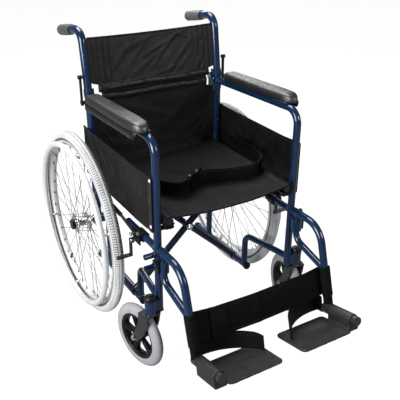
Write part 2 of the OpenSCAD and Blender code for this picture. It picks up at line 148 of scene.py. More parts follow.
def lengths(path):
    """Distance along a path at each of its points."""
    return np.r_[0, np.cumsum(np.linalg.norm(np.diff(path, axis=0), axis=1))]


def frames_along(path, up):
    """Sideways and upward directions at each point of a path."""
    path, up = np.array(path, float), np.array(up, float)
    t = np.gradient(path, axis=0)
    t /= np.linalg.norm(t, axis=1)[:, None] + 1e-12
    side = np.zeros_like(t)
    for i in range(len(path)):
        s = np.cross(t[i], up)
        if np.linalg.norm(s) < 1e-6:
            s = side[i - 1] if i else np.cross(t[i], X)
        side[i] = s / np.linalg.norm(s)
    return side, np.cross(side, t)


def sweep(path, section, up=(0, 0, 1), scale=None):
    """A closed section (sideways, upwards) carried along a path."""
    side, top = frames_along(path, up)
    section = np.array(section, float)
    k = np.ones(len(path)) if scale is None else np.array(scale, float)
    v = (np.array(path, float)[:, None, :]
         + section[None, :, 0, None] * k[:, None, None] * side[:, None, :]
         + section[None, :, 1, None] * k[:, None, None] * top[:, None, :])
    return v.reshape(-1, 3), tube_faces(len(path), len(section), outward=False)


def circle(r, n=16):
    a = np.arange(n) * 2 * pi / n
    return np.c_[r * np.cos(a), r * np.sin(a)]


def rod(p, q, r, n=16):
    p, q = np.array(p, float), np.array(q, float)
    up = (0, 0, 1) if abs((q - p)[2]) < 0.9 * np.linalg.norm(q - p) else (1, 0, 0)
    return sweep([p, q], circle(r, n), up)


def lathe(profile, centre, axis, n=32, closed=False, wave=None):
    """A profile of (radius, distance along axis) turned about an axis through centre."""
    w = np.array(axis, float) / np.linalg.norm(axis)
    u = np.cross(w, arr(0, 0, 1))
    u = arr(1, 0, 0) if np.linalg.norm(u) < 1e-6 else u / np.linalg.norm(u)
    t = np.cross(w, u)
    profile = np.array(profile, float)
    a = np.arange(n) * 2 * pi / n
    ring = np.cos(a)[:, None] * u + np.sin(a)[:, None] * t
    rad = np.repeat(profile[None, :, 0], n, 0)
    if wave is not None:
        rad = rad + wave(a[:, None], np.arange(len(profile))[None, :])
    v = np.array(centre, float) + rad[:, :, None] * ring[:, None, :] \
        + profile[None, :, 1, None] * w
    return v.reshape(-1, 3), strip_faces(n, len(profile), True, closed)


def prism(outline, z0, z1):
    """An outline in x and y between two heights."""
    o = np.array(outline, float)
    n = len(o)
    v = np.vstack([np.c_[o, np.full(n, z0)], np.c_[o, np.full(n, z1)]])
    area = np.sum(o[:, 0] * np.roll(o[:, 1], -1) - np.roll(o[:, 0], -1) * o[:, 1])
    f = [(i, (i + 1) % n, n + (i + 1) % n, n + i) for i in range(n)]
    f += [tuple(range(n))[::-1], tuple(range(n, 2 * n))]
    return v, (f if area > 0 else [g[::-1] for g in f])


def block(a, b):
    (x0, y0, z0), (x1, y1, z1) = np.minimum(a, b), np.maximum(a, b)
    return prism([(x0, y0), (x1, y0), (x1, y1), (x0, y1)], z0, z1)


def rounded_rect(x0, y0, x1, y1, c, n=5):
    out = []
    for cx, cy, a0 in ((x1 - c, y0 + c, -90), (x1 - c, y1 - c, 0), (x0 + c, y1 - c, 90),
                       (x0 + c, y0 + c, 180)):
        for k in range(n + 1):
            a = radians(a0 + 90 * k / n)
            out.append((cx + c * cos(a), cy + c * sin(a)))
    return out


def smooth_path(points, n):
    """A Catmull-Rom curve through points, resampled to n points an even distance apart."""
    p = np.array(points, float)
    p = np.vstack([2 * p[0] - p[1], p, 2 * p[-1] - p[-2]])
    t = np.linspace(0, 1, 12, endpoint=False)[:, None]
    out = [0.5 * (2 * p[i] + (p[i + 1] - p[i - 1]) * t
                  + (2 * p[i - 1] - 5 * p[i] + 4 * p[i + 1] - p[i + 2]) * t ** 2
                  + (3 * p[i] - p[i - 1] - 3 * p[i + 1] + p[i + 2]) * t ** 3)
           for i in range(1, len(p) - 2)]
    out = np.vstack(out + [p[-2:-1]])
    d = lengths(out)
    at = np.linspace(0, d[-1], n)
    return np.column_stack([np.interp(at, d, out[:, k]) for k in range(3)])


def normals_of(grid):
    du, dv = np.gradient(grid, axis=0), np.gradient(grid, axis=1)
    n = np.cross(du, dv)
    return n / (np.linalg.norm(n, axis=2)[:, :, None] + 1e-12)


def closed_sheet(a, b):
    """Two grids of points, one over the other, joined round their edges."""
    rows, cols = a.shape[:2]
    k = rows * cols
    f = strip_faces(rows, cols)
    f += [tuple(i + k for i in g[::-1]) for g in f]
    rim = [(i, 0) for i in range(rows)] + [(rows - 1, j) for j in range(1, cols)]
    rim += [(i, cols - 1) for i in range(rows - 2, -1, -1)] + [(0, j) for j in range(cols - 2, 0, -1)]
    rim = [i * cols + j for i, j in rim]
    f += [(p, q, q + k, p + k)[::-1] for p, q in zip(rim, rim[1:] + rim[:1])]
    return np.vstack([a.reshape(-1, 3), b.reshape(-1, 3)]), f


def sheet_of(grid, thick):
    """A cloth of that thickness along a grid of points."""
    half = normals_of(grid) * thick / 2
    return closed_sheet(grid + half, grid - half)


def stitches(path, up, pitch=5.0, share=0.62, r=0.55):
    """Thread lying along a path: one small capsule a stitch."""
    path, up = np.array(path, float), np.array(up, float)
    d = lengths(path)
    parts = []
    for s in np.arange(pitch, d[-1] - pitch, pitch):
        pts = [np.array([np.interp(s + k * pitch * share, d, path[:, c]) for c in range(3)]) + up * r * lift
               for k, lift in ((0, 0), (0.15, 0.5), (0.5, 0.8), (0.85, 0.5), (1, 0))]
        parts.append(sweep(pts, circle(r, 5), (0.31, 0.2, 0.93), (0.3, 1, 1, 1, 0.3)))
    return joined(*parts)


def seams(lines, lift, up):
    """Stitches along several lines of a cloth, lifted on to its face."""
    return joined(*[stitches(line + lift, up) for line in lines])


def button(centre, axis, r, h, n=20):
    """A domed rivet head standing on a surface."""
    pro = [(r * 0.98, -0.3), (r, h * 0.25), (r * 0.86, h * 0.62), (r * 0.55, h * 0.9), (r * 0.2, h),
           (0.01, h)]
    return lathe(pro, centre, axis, n)


def hex_bolt(centre, axis, across, h):
    r = across / 2 / cos(pi / 6)
    return lathe([(0.01, 0), (r, 0), (r, h * 0.8), (r * 0.9, h), (0.01, h)], centre, axis, 6)


def mesh_object(name, verts, faces):
    me = bpy.data.meshes.new(name)
    me.from_pydata(verts, [], faces)
    ob = bpy.data.objects.new(name, me)
    bpy.context.scene.collection.objects.link(ob)
    return ob


def build(name, part, mat, sign=1, body=None, slot=None, replaces=(), sharp=35, bevel=0, subsurf=0):
    """One Blender piece from a part in millimetres, mirrored for the left side."""
    v, f = part
    v = np.array(v, float).copy()
    if sign < 0:
        v[:, 0] *= -1
        f = [g[::-1] for g in f]
    ob = mesh_object(name, place(v).tolist(), f)
    me = ob.data
    me.validate()
    me.polygons.foreach_set("use_smooth", [True] * len(me.polygons))
    me.set_sharp_from_angle(angle=radians(sharp))
    me.materials.append(mat)
    if bevel:
        b = ob.modifiers.new("edges", "BEVEL")
        b.width, b.segments, b.limit_method, b.angle_limit = bevel / 1000, 2, "ANGLE", radians(32)
        b.harden_normals = True
    if subsurf:
        s = ob.modifiers.new("smooth", "SUBSURF")
        s.levels = s.render_levels = subsurf
    if replaces:
        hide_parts(*([replaces] if isinstance(replaces, str) else replaces))
    if body:
        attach(ob, body)
    return ob


def put(side, name, part, mat, body, slot, replaces=None, **how):
    """build() for one side: the piece, its body and the node it replaces get that side's ending."""
    old = f"{replaces}_{side}" if replaces else ()
    return build(f"{name}_{side}", part, mat, SIGN[side], f"{body}_{side}", slot, old, **how)


# ---------- materials ----------
class Look:
    """A node material built from one Principled shader; everything in it is procedural."""

    def __init__(self, name, **constants):
        self.mat = bpy.data.materials.new(name)
        self.mat.use_nodes = True
        self.tree = self.mat.node_tree
        self.shader = self.tree.nodes["Principled BSDF"]
        for k, v in constants.items():
            self.set(k.replace("_", " "), v)
        self.at = self.node("TexCoord").outputs["Object"]
        self.uv = self.node("TexCoord").outputs["UV"]

    def feed(self, socket, value):
        if hasattr(value, "is_output"):
            self.tree.links.new(value, socket)
        else:
            color = isinstance(value, tuple) and len(value) == 3 and socket.type == "RGBA"
            socket.default_value = (*value, 1.0) if color else value

    def set(self, socket, value):
        self.feed(self.shader.inputs[socket], value)

    def node(self, kind, inputs=(), **props):
        n = self.tree.nodes.new("ShaderNode" + kind)
        for k, v in props.items():
            setattr(n, k, v)
        for key, v in dict(inputs).items():
            self.feed(n.inputs[key], v)
        return n

    def math(self, op, a, b=0.0):
        return self.node("Math", {0: a, 1: b}, operation=op).outputs[0]

    def noise(self, scale, detail=2.0, rough=0.5, stretch=None):
        at = self.at
        if stretch:
            at = self.node("Mapping", {"Vector": at, "Scale": stretch}).outputs[0]
        return self.node("TexNoise",
                         {"Vector": at, "Scale": scale, "Detail": detail, "Roughness": rough}).outputs["Fac"]

    def ramp(self, fac, *stops):
        n = self.node("ValToRGB", {"Fac": fac})
        e = n.color_ramp.elements
        while len(e) < len(stops):
            e.new(0.5)
        for x, (pos, c) in zip(e, stops):
            x.position = pos
            x.color = (*c, 1) if isinstance(c, tuple) else (c, c, c, 1)
        return n.outputs["Color"]

    def range(self, fac, lo, hi, a=0.0, b=1.0):
        return self.node("MapRange",
                         {"Value": fac, "From Min": a, "From Max": b, "To Min": lo, "To Max": hi}).outputs[0]

    def mix(self, fac, a, b):
        return self.node("Mix", {0: fac, 6: a, 7: b}, data_type="RGBA").outputs[2]

    def bump(self, height, strength, distance):
        prev = self.shader.inputs["Normal"].links
        ins = {"Height": height, "Strength": strength, "Distance": distance}
        if prev:
            ins["Normal"] = prev[0].from_socket
        self.set("Normal", self.node("Bump", ins).outputs[0])


def enamel(name, base, deep, flake=0.25):
    """Gloss enamel: fine metal flake, orange peel, and thin wear where it is handled."""
    m = Look(name, Metallic=0.1, Specular_IOR_Level=0.12, Coat_Weight=0.75, Coat_Roughness=0.05,
             Coat_IOR=1.5)
    tone = m.mix(m.range(m.noise(9, 3), 0, 1, 0.35, 0.65), deep, base)
    fleck = m.ramp(m.noise(2600, 1), (0.55, 0.0), (0.72, flake))
    tone = m.mix(fleck, tone, tuple(min(1, c * 3 + 0.05) for c in base))
    scuff = m.math("MULTIPLY", m.ramp(m.noise(38, 6, 0.7), (0.66, 0.0), (0.74, 1.0)),
                   m.ramp(m.noise(7, 2), (0.5, 0.0), (0.62, 0.22)))
    m.set("Base Color", m.mix(scuff, tone, (0.16, 0.17, 0.19)))
    m.set("Roughness", m.range(m.noise(60, 3), 0.24, 0.4, 0.3, 0.7))
    m.bump(m.noise(520, 2), 0.10, 0.0004)
    return m.mat


def metal(name, base, rough=(0.22, 0.4), stretch=(1, 1, 1), metallic=1.0, grime=0.3, aniso=0.0):
    """Drawn or polished metal: fine brushing, cloudy roughness and a little grime."""
    m = Look(name, Metallic=metallic, Anisotropic=aniso)
    lines = m.noise(900, 3, 0.6, stretch)
    cloud = m.noise(14, 4, 0.6)
    dark = tuple(c * 0.62 for c in base)
    tone = m.mix(m.math("MULTIPLY", m.range(cloud, 0, 1, 0.45, 0.75), grime), base, dark)
    m.set("Base Color", m.mix(m.range(lines, 0, 0.25, 0.4, 0.7), tone, dark))
    m.set("Roughness", m.range(m.math("ADD", m.math("MULTIPLY", lines, 0.5), m.math("MULTIPLY", cloud, 0.5)),
                               rough[0], rough[1], 0.3, 0.7))
    m.bump(lines, 0.06, 0.0002)
    return m.mat


def moulded(name, base, rough=(0.4, 0.55), grain=900, depth=0.0003, strength=0.25, sheen=0.0, coat=0.0,
            spec=0.5, vary=1.35):
    """Moulded plastic or rubber: fine grain, uneven gloss, dusty high spots."""
    m = Look(name, Sheen_Weight=sheen, Sheen_Roughness=0.4, Coat_Weight=coat, Coat_Roughness=0.25,
             Specular_IOR_Level=spec)
    cloud = m.noise(16, 4, 0.6)
    m.set("Base Color", m.mix(m.range(cloud, 0, 1, 0.35, 0.7), tuple(c / vary for c in base),
                              tuple(min(1, c * vary) for c in base)))
    m.set("Roughness", m.range(m.noise(45, 3), rough[0], rough[1], 0.3, 0.7))
    m.bump(m.noise(grain, 2, 0.55), strength, depth)
    return m.mat


def woven(name, base, light, pitch=1.1, strength=0.35, sheen=0.25, rough=(0.5, 0.68), rib=None, spec=0.4):
    """Nylon cloth: two crossing threads with painted shade between them, uneven dye, soft sheen and lint."""
    m = Look(name, Sheen_Weight=sheen, Sheen_Roughness=0.35, Specular_IOR_Level=spec)
    m.shader.inputs["Sheen Tint"].default_value = (0.6, 0.62, 0.68, 1)
    waves = []
    for axis, step in (("X", pitch), ("Y", rib or pitch)):
        w = m.node("TexWave", {"Vector": m.uv, "Scale": 100 * pi / step, "Distortion": 0.6,
                               "Detail": 1.0, "Detail Scale": 2.0}, wave_type="BANDS", bands_direction=axis)
        waves.append(w.outputs["Fac"])
    weave = m.math("MAXIMUM", *waves)
    if rib:
        weave = m.math("ADD", m.math("MULTIPLY", waves[1], 0.75), m.math("MULTIPLY", waves[0], 0.25))
    cloud = m.noise(11, 4, 0.55)
    tone = m.mix(m.range(cloud, 0, 1, 0.38, 0.66), base, light)
    lint = m.ramp(m.noise(1500, 2, 0.6), (0.70, 0.0), (0.78, 0.35))
    # painted shade: the colour darkens between the threads, in the hollows of the weave
    tone = m.mix(m.range(weave, 0.35, 0.0), tone, tuple(c * 0.45 for c in base))
    m.set("Base Color", m.mix(lint, tone, tuple(min(1, c * 2.2 + 0.01) for c in light)))
    m.set("Roughness", m.range(m.noise(30, 3), rough[0], rough[1], 0.3, 0.7))
    m.bump(weave, strength, 0.00035)
    m.bump(m.noise(85, 4, 0.6), 0.22, 0.0014)
    return m.mat


M_BLUE = enamel("enamel_blue", (0.0028, 0.0190, 0.060), (0.0020, 0.0135, 0.044), 0.08)
M_BRACE = enamel("enamel_dark_blue", (0.0032, 0.0085, 0.026), (0.0022, 0.0060, 0.018), 0.06)
M_RIM = metal("rim_alloy", (0.84, 0.85, 0.86), (0.34, 0.5), metallic=0.45)
M_HANDRIM = metal("hand_rim_alloy", (0.82, 0.83, 0.84), (0.3, 0.46), metallic=0.45)
M_BRIGHT = metal("bright_steel", (0.72, 0.73, 0.75), (0.16, 0.32))
M_SPOKE = metal("spoke_wire", (0.36, 0.37, 0.38), (0.25, 0.4))
M_DARKSTEEL = metal("dark_steel", (0.07, 0.07, 0.075), (0.26, 0.42), metallic=0.8)
# painted shade: a dark material for the grooves of the rear tyres' tread
M_GROOVE_SHADE = moulded("tread_groove_shade", (0.10, 0.10, 0.10), (0.7, 0.85), 420, 0.0006, 0.35, spec=0.2)
M_TYRE = moulded("tyre_rubber", (0.48, 0.485, 0.49), (0.6, 0.78), 420, 0.0006, 0.35, vary=1.12, spec=0.25)
M_CASTOR_TYRE = moulded("castor_rubber", (0.28, 0.285, 0.30), (0.55, 0.72), 420, 0.0006, 0.3, vary=1.12,
                        spec=0.3)
M_BLACK = moulded("black_plastic", (0.0036, 0.0036, 0.0040), (0.30, 0.44), spec=0.28)
M_GLOSSBLACK = moulded("gloss_black", (0.003, 0.003, 0.0033), (0.22, 0.36), coat=0.05, spec=0.25)
M_GRIP = moulded("grip_rubber", (0.052, 0.054, 0.057), (0.34, 0.46), 1400, 0.0004, 0.35, spec=0.9)
M_VINYL = moulded("pad_skin", (0.0045, 0.0047, 0.0052), (0.36, 0.46), 700, 0.0008, 0.6, coat=0.06, spec=0.85)
M_FORK = moulded("fork_enamel", (0.014, 0.0135, 0.014), (0.34, 0.46), 500, 0.0004, 0.2, coat=0.08)
M_PLATE = moulded("plate_plastic", (0.0095, 0.0092, 0.0092), (0.46, 0.6), 260, 0.0011, 0.55, spec=0.5)
M_SEAT = woven("seat_nylon", (0.0042, 0.0036, 0.0036), (0.0088, 0.0078, 0.0078), sheen=0.05, spec=0.14)
M_BACKCLOTH = woven("back_nylon", (0.0030, 0.0030, 0.0031), (0.0065, 0.0063, 0.0065), sheen=0.07, spec=0.28,
                    rough=(0.42, 0.56))
M_SKIRT = woven("skirt_nylon", (0.0022, 0.0021, 0.0022), (0.0080, 0.0076, 0.0080), sheen=0.03,
                rough=(0.36, 0.55), spec=0.16)
M_WEB = woven("belt_webbing", (0.0014, 0.0014, 0.0014), (0.0030, 0.0029, 0.0030), pitch=1.6, rib=2.6,
              strength=0.5, sheen=0.02, rough=(0.5, 0.65), spec=0.1)
M_STRAP = woven("strap_loop_pile", (0.0012, 0.0012, 0.0012), (0.0028, 0.0027, 0.0028), pitch=2.2,
                strength=0.5, sheen=0.03, rough=(0.6, 0.75), spec=0.10)
M_THREAD = woven("thread", (0.006, 0.006, 0.007), (0.012, 0.012, 0.013), sheen=0.1)
M_WHITE = moulded("button_white", (0.72, 0.73, 0.74), (0.2, 0.35), vary=1.05)


def paint(ob, mat):
    if not ob.material_slots:
        ob.data.materials.append(mat)
    for s in ob.material_slots:
        s.material = mat


CARRIED_OVER = (
    (M_BLUE, "back_tube arm_tube lower_frame hanger push_handle"), (M_BRIGHT, "axle"),
    (M_DARKSTEEL, "lock_shoe"), (M_SPOKE, "spokes"), (M_HANDRIM, "hand_rim"), (M_FORK, "footrest_tube"),
    (M_BLACK, "lock_lever hanger_latch back_release black_fittings"),
)
for mat, names in CARRIED_OVER:
    for name in names.split():
        for side in SIGN:
            paint(nodes[f"{name}_{side}"], mat)
for which in "ab":
    paint(nodes[f"cross_brace_{which}"], M_BRACE)


# ---------- rear wheels ----------
def wheel_point(r, angle, x):
    a = radians(angle)
    return arr(-WHEEL_X + x, r * sin(a), AXLE_Z - r * cos(a))


RIBS, PER_RIB, TREAD_DEPTH, GROOVE_DEPTH = 240, 4, 2.9, 1.9
LACING = [(s, pull, i * 40 + (20 if s > 0 else 0) + (10 if pull > 0 else 0))
          for s in (-1, 1) for pull in (-1, 1) for i in range(9)]
SPOKE_SWEEP, VALVE_AT = 62, 35
WHEEL_AT = arr(-WHEEL_X, 0, AXLE_Z)


def mirrored(half, middle=()):
    """A profile across a wheel: one half of it, its middle, and the same half on the other side."""
    return [*half, *middle, *[(r, -x) for r, x in reversed(half)]]


def rear_tyre(side):
    """Tread of crosswise ribs on both shoulders, two grooves and a zigzag middle rib."""
    turns = [4, 11, 12.5, 17.5, 19, 29, 40, 52, 63, 66, 76, 90, 103, 112]
    turns = [-a for a in reversed(turns)] + turns
    centre = TYRE_R - TYRE_HALF
    pro = [(270.0, -12.4), (272.5, -13.6)]
    pro += [(centre + TYRE_HALF * cos(radians(a)), TYRE_HALF * sin(radians(a))) for a in turns]
    pro += [(272.5, 13.6), (270.0, 12.4)]
    deg = np.array([180, 180, *turns, 180, 180], float)
    k = np.arange(RIBS * PER_RIB)

    def relief(_, j):
        d = deg[j]
        shoulder = (np.abs(d) > 18.9) & (np.abs(d) < 64)
        slot = (np.abs(d) > 12) & (np.abs(d) < 18)
        phase = (k[:, None] + np.where(d > 0, 2, 0)) % PER_RIB
        low = (phase >= 2) & shoulder
        zig = (np.abs(d) <= 12) * np.where((k[:, None] % 8) < 4, 0.0, -0.35)
        return -TREAD_DEPTH * low - GROOVE_DEPTH * slot + zig

    part = lathe(pro, WHEEL_AT, X, RIBS * PER_RIB, wave=relief)
    ob = put(side, "rear_tyre", part, M_TYRE, "wheel", "tyre_grey", "tyre", sharp=28)
    # painted shade: the low parts of the tread get a dark material that stands in for the shade in its
    # grooves
    ob.data.materials.append(M_GROOVE_SHADE)
    v = np.array([p.co for p in ob.data.vertices]) * 1000
    off = np.clip(np.abs(v[:, 0]) - WHEEL_X, -TYRE_HALF, TYRE_HALF)
    full = centre + np.sqrt(TYRE_HALF ** 2 - off ** 2)
    low = full - np.hypot(v[:, 1] - MIDDLE_Y, v[:, 2] - AXLE_Z) > 1.3
    for p in ob.data.polygons:
        if low[list(p.vertices)].mean() > 0.7 and np.abs(off[list(p.vertices)]).max() < 15.4:
            p.material_index = 1


def rear_rim(side):
    pro = [(256.0, -6.5), (255.6, 0), (256.0, 6.5), (256.8, 8.4), (259.5, 10.6), (262.4, 12.0),
           (265.0, 12.5), (266.2, 12.1), (267.2, 12.5), (269.9, 12.5), (270.6, 12.0), (270.4, 10.8),
           (268.2, 10.4)]
    pro = pro + [(r, -x) for r, x in reversed(pro[3:])]
    rim = lathe(pro, WHEEL_AT, X, 180, closed=True)
    put(side, "rear_rim", rim, M_RIM, "wheel", "bright_metal", "rim", sharp=30)
    nipple = [(0.01, -1.2), (3.1, -1.0), (3.1, 0.4), (2.1, 0.9), (2.1, 4), (1.6, 9.5), (1.1, 10.5),
              (0.01, 10.5)]
    small = []
    for s, pull, angle in LACING:
        out = wheel_point(RIM_IN_R, angle, s * 3 + pull * 1.4)
        at_hub = wheel_point(25, angle + pull * SPOKE_SWEEP, s * 20 + pull * 2.9)
        small.append(lathe(nipple, out, at_hub - out, 8))
    put(side, "spoke_nipples", joined(*small), M_DARKSTEEL, "wheel", "spoke_steel", sharp=40)


def rear_hub(side):
    flanges = [(28.4, 22), (29, 21.2), (29, 18.8), (28.4, 18.2), (15.5, 17), (12.6, 12)]
    shell = [(8, 27), (13.2, 27), (14, 25.6), (14, 23), *mirrored(flanges, [(12.2, 0)]), (15.5, -23),
             (15.5, -25.6), (8, -26)]
    put(side, "hub_shell", lathe(shell, WHEEL_AT, X, 40), M_BRIGHT, "wheel", "bright_metal", "hub")
    cap = [(8, -25.9), (15.2, -25.9), (16.6, -27), (17, -29), (17, -33), (15.8, -35.4), (12, -36),
           (8, -35.9), (6.8, -35.0), (0.01, -34.8)]
    put(side, "hub_cap", lathe(cap, WHEEL_AT, X, 32), M_GLOSSBLACK, "wheel", "black_plastic")
    heads = [button(wheel_point(25, angle + pull * SPOKE_SWEEP, s * 20 + pull * 1.2), (pull, 0, 0), 2.0, 1.6,
                    8)
             for s, pull, angle in LACING]
    put(side, "spoke_heads", joined(*heads), M_SPOKE, "wheel", "spoke_steel")


def hand_rim_bits(side):
    """Clips at both ends of each standoff, and its bolt inside the rim."""
    parts = []
    for a in np.radians(np.arange(6) * 60 + 12):
        radial = arr(0, -sin(a), cos(a))
        at = WHEEL_AT - 12.6 * X + HANDRIM_R * radial
        parts.append(lathe([(3.4, 1.5), (6.2, 1.0), (6.4, -0.6), (5.0, -2.2), (3.6, -3.0)], at, X, 16))
        parts.append(lathe([(3.4, -8.2), (4.6, -9.6), (4.8, -12), (4.6, -15), (3.4, -16.2)], at, X, 16))
        parts.append(hex_bolt(at + 2.6 * X - radial * 9, -radial, 7, 3))
    put(side, "hand_rim_tabs", joined(*parts), M_BRIGHT, "wheel", "bright_metal")


def valve(side, angle):
    base = wheel_point(RIM_IN_R, angle, 0)
    stem = [(0.01, -1), (4.6, -1), (4.6, 1.2), (3.0, 1.8), (3.0, 14), (3.5, 14.6), (3.5, 27), (2.6, 29),
            (0.01, 29.4)]
    part = lathe(stem, base, WHEEL_AT - base, 14)
    put(side, "valve", part, M_BLACK, "wheel", "black_plastic")


for side in SIGN:
    rear_tyre(side)
    rear_rim(side)
    rear_hub(side)
    hand_rim_bits(side)
    valve(side, VALVE_AT)


# ---------- castors ----------
def at_stem(part):
    """A part drawn about the castor's stem, turned and put in its place."""
    return turned(part, CASTOR_TURN, (0, 0, 1), move=(-STEM_X, STEM_Y, 0))


def castor(side):
    """Grey tyre, five-spoked wheel, two curved fork blades under a bridge, stem and bolts."""
    wheel_at = arr(0, TRAIL, CASTOR_R)
    pro = mirrored([(71.5, -12.5), (74, -13.6), (80, -14), (86, -13.6), (91, -12.2), (95.2, -9.6),
                    (98.3, -5.8), (99.8, -1.8)])
    put(side, "castor_tread", at_stem(lathe(pro, wheel_at, X, 128, closed=True)), M_CASTOR_TYRE,
        "castor_wheel", "tyre_grey", "castor_tyre", sharp=50)
    rim = [(72.4, -12.6), (72.4, 12.6), (70.6, 13.4), (67.6, 13.2), (66.4, 11.4), (62.2, 9.8), (60.4, 6),
           (60.2, 0), (60.4, -6), (62.2, -9.8), (66.4, -11.4), (67.6, -13.2), (70.6, -13.4)]
    hub = [(6.3, -17), (14, -17), (16.4, -15.8), (17, -13), (17, 13), (16.4, 15.8), (14, 17), (6.3, 17)]
    parts = [lathe(rim, wheel_at, X, 96, closed=True), lathe(hub, wheel_at, X, 40, closed=True)]
    for i in range(5):
        a0 = 90 - (i * 72 + 18)
        # a spoke that widens to the rim, with a raised middle web
        for half, w0, w1 in ((8.0, 9.0, 17.0), (11.0, 2.6, 3.6)):
            outline = [(13, -w0 / 2), (62, -w1 / 2), (63, 0), (62, w1 / 2), (13, w0 / 2)]
            v, f = swapped(prism(outline, -half, half), (2, 0, 1))
            v[:, 0] *= 0.75 + 0.25 * unit((v[:, 1] - 13) / 50)
            parts.append(turned((v, f), a0, X, move=wheel_at))
    put(side, "castor_wheel_body", at_stem(joined(*parts)), M_BLACK, "castor_wheel", "black_plastic",
        "castor_hub", bevel=1.0)
    # fork: two curved blades from a bridge under the housing
    t = np.linspace(0, 1, 19)[:, None]
    mid = (1 - t) ** 2 * arr(6, 204) + 2 * t * (1 - t) * arr(10, 140) + t ** 2 * arr(TRAIL, CASTOR_R)
    way = np.gradient(mid, axis=0)
    way /= np.linalg.norm(way, axis=1)[:, None]
    half = 20 - 8.5 * t + 1.5 * np.sin(t * 3.1)
    nrm = np.c_[-way[:, 1], way[:, 0]]
    left_edge, right_edge = mid + nrm * half, mid - nrm * half
    first, last = (atan2(*(edge[-1] - mid[-1])[::-1]) for edge in (right_edge, left_edge))
    tip = [arr(TRAIL, CASTOR_R) + 12.5 * arr(cos(a), sin(a))
           for a in np.linspace(first, last - 2 * pi, 11)[1:-1]]
    outline = np.vstack([right_edge, tip, left_edge[::-1]])
    outline = outline[outline[:, 1] < 205]
    parts = []
    for x0 in (-24.2, 19.2):
        v, f = swapped(prism(outline, x0, x0 + 5), (2, 0, 1))
        v[:, 0] += 1.6 * unit((150 - v[:, 2]) / 60) * (-1 if x0 > 0 else 1)
        parts.append((v, f))
    bridge = [(-24.2, 199), (-24.2, 205), (24.2, 205), (24.2, 199), (21, 196.5), (18.5, 199.8),
              (-18.5, 199.8), (-21, 196.5)]
    parts.append(swapped(prism(bridge, -15, 27), (0, 2, 1)))
    put(side, "castor_fork_blades", at_stem(joined(*parts)), M_FORK, "castor_swivel", "grey_metal",
        "castor_fork", bevel=1.6)
    stem = [lathe([(0.01, 204.8), (15.4, 204.8), (15.4, 205.9), (8, 206), (8, 253.5), (0.01, 254)], 0 * Z, Z,
                  24)]
    for s in (-1, 1):
        stem.append(hex_bolt(wheel_at + s * 24 * X, s * X, 13, 5.2))
        stem.append(lathe([(0.01, 0), (9.2, 0), (9.2, 1.2), (6, 1.4)], wheel_at + s * 23.6 * X, s * X, 20))
        stem.append(lathe([(6.2, 17.2), (10, 17.2), (10, 18.8), (6.2, 18.8)], wheel_at, s * X, 20,
                          closed=True))
    stem.append(lathe([(6, -19), (6, 19)], wheel_at, X, 16))
    put(side, "castor_bolts", at_stem(joined(*stem)), M_BRIGHT, "castor_swivel", "bright_metal")


for side in SIGN:
    castor(side)


# ---------- cloth ----------
def relax(grid, pins, frames, slack, gravity, cap):
    """Lets a grid of cloth hang from its pinned points, and returns where it came to rest."""
    rows, cols = grid.shape[:2]
    ob = mesh_object("cloth_work", (grid.reshape(-1, 3) / 1000).tolist(), strip_faces(rows, cols))
    g = ob.vertex_groups.new(name="pin")
    for i, w in enumerate(pins.reshape(-1)):
        if w > 0:
            g.add([i], float(w), "REPLACE")
    mod = ob.modifiers.new("cloth", "CLOTH")
    st = mod.settings
    st.quality, st.mass, st.vertex_group_mass = 6, 0.25, "pin"
    st.tension_stiffness = st.compression_stiffness = 8.0
    st.shear_stiffness, st.bending_stiffness = 4.0, 0.12
    st.tension_damping = st.compression_damping = 12
    st.air_damping = 4
    st.shrink_min = -slack
    st.effector_weights.gravity = gravity
    mod.collision_settings.use_collision = False
    mod.point_cache.frame_end = frames
    scene = bpy.context.scene
    for fr in range(1, frames + 1):
        scene.frame_set(fr)
    ev = ob.evaluated_get(bpy.context.evaluated_depsgraph_get())
    out = np.array([v.co for v in ev.data.vertices]).reshape(rows, cols, 3) * 1000
    scene.frame_set(1)
    bpy.data.meshes.remove(ob.data)
    move = out - grid
    size = np.linalg.norm(move, axis=2)[:, :, None] + 1e-9
    return grid + move * np.minimum(1, cap / size)


def soft_noise(shape, seed, octaves=((3, 1.0), (6, 0.5), (12, 0.25)), stretch=(1, 1)):
    """Smooth random heights over a grid, about -1 to 1."""
    r = np.random.default_rng(seed)
    u, v = np.meshgrid(np.linspace(0, 1, shape[0]), np.linspace(0, 1, shape[1]), indexing="ij")
    out = np.zeros(shape)
    for k, amp in octaves:
        for _ in range(5):
            a, b = r.normal(size=2) * k * np.array(stretch)
            out += amp * np.sin(2 * pi * (a * u + b * v) * 0.5 + r.uniform(0, 6.3)) / 5
    return out


def crease(grid_uv, start, end, width, depth):
    """A soft fold along a line between two points of the sheet, in its own flat millimetres."""
    p, q = np.array(start, float), np.array(end, float)
    d = q - p
    t = unit(((grid_uv - p) @ d) / (d @ d))
    off = np.linalg.norm(grid_uv - p - t[..., None] * d, axis=-1)
    fade = np.sin(pi * unit(t * 0.94 + 0.03)) ** 0.6
    return depth * fade * (np.exp(-(off / width) ** 2) - 0.45 * np.exp(-(off / (2.3 * width)) ** 2))


def creases(flat, table):
    """Creases added up; each row of the table is (start, end, width, depth)."""
    return sum(crease(flat, *row) for row in table)


def hem(u, at, width, height):
    """The raised edge of a sheet that is folded over."""
    return height * np.exp(-((u - at) / width) ** 2)


def nearest(values, wanted):
    return [int(np.argmin(np.abs(values - w))) for w in wanted]


def flat_points(u, v):
    return np.stack(np.meshgrid(u, v, indexing="ij"), -1)


def by_row(rows, cols):
    """A weight for each row of a grid, the same in all of its columns."""
    return rows[:, None] * np.ones(cols)


def add_uv(ob, rows, cols, wide, tall):
    """Flat millimetres of the sheet as UVs in metres, the same on both faces of the cloth."""
    me = ob.data
    i = np.empty(len(me.loops), int)
    me.loops.foreach_get("vertex_index", i)
    i %= rows * cols
    uv = np.c_[i // cols / (rows - 1) * wide, i % cols / (cols - 1) * tall] / 1000
    me.uv_layers.new(name="flat").data.foreach_set("uv", uv.reshape(-1).astype(np.float32))


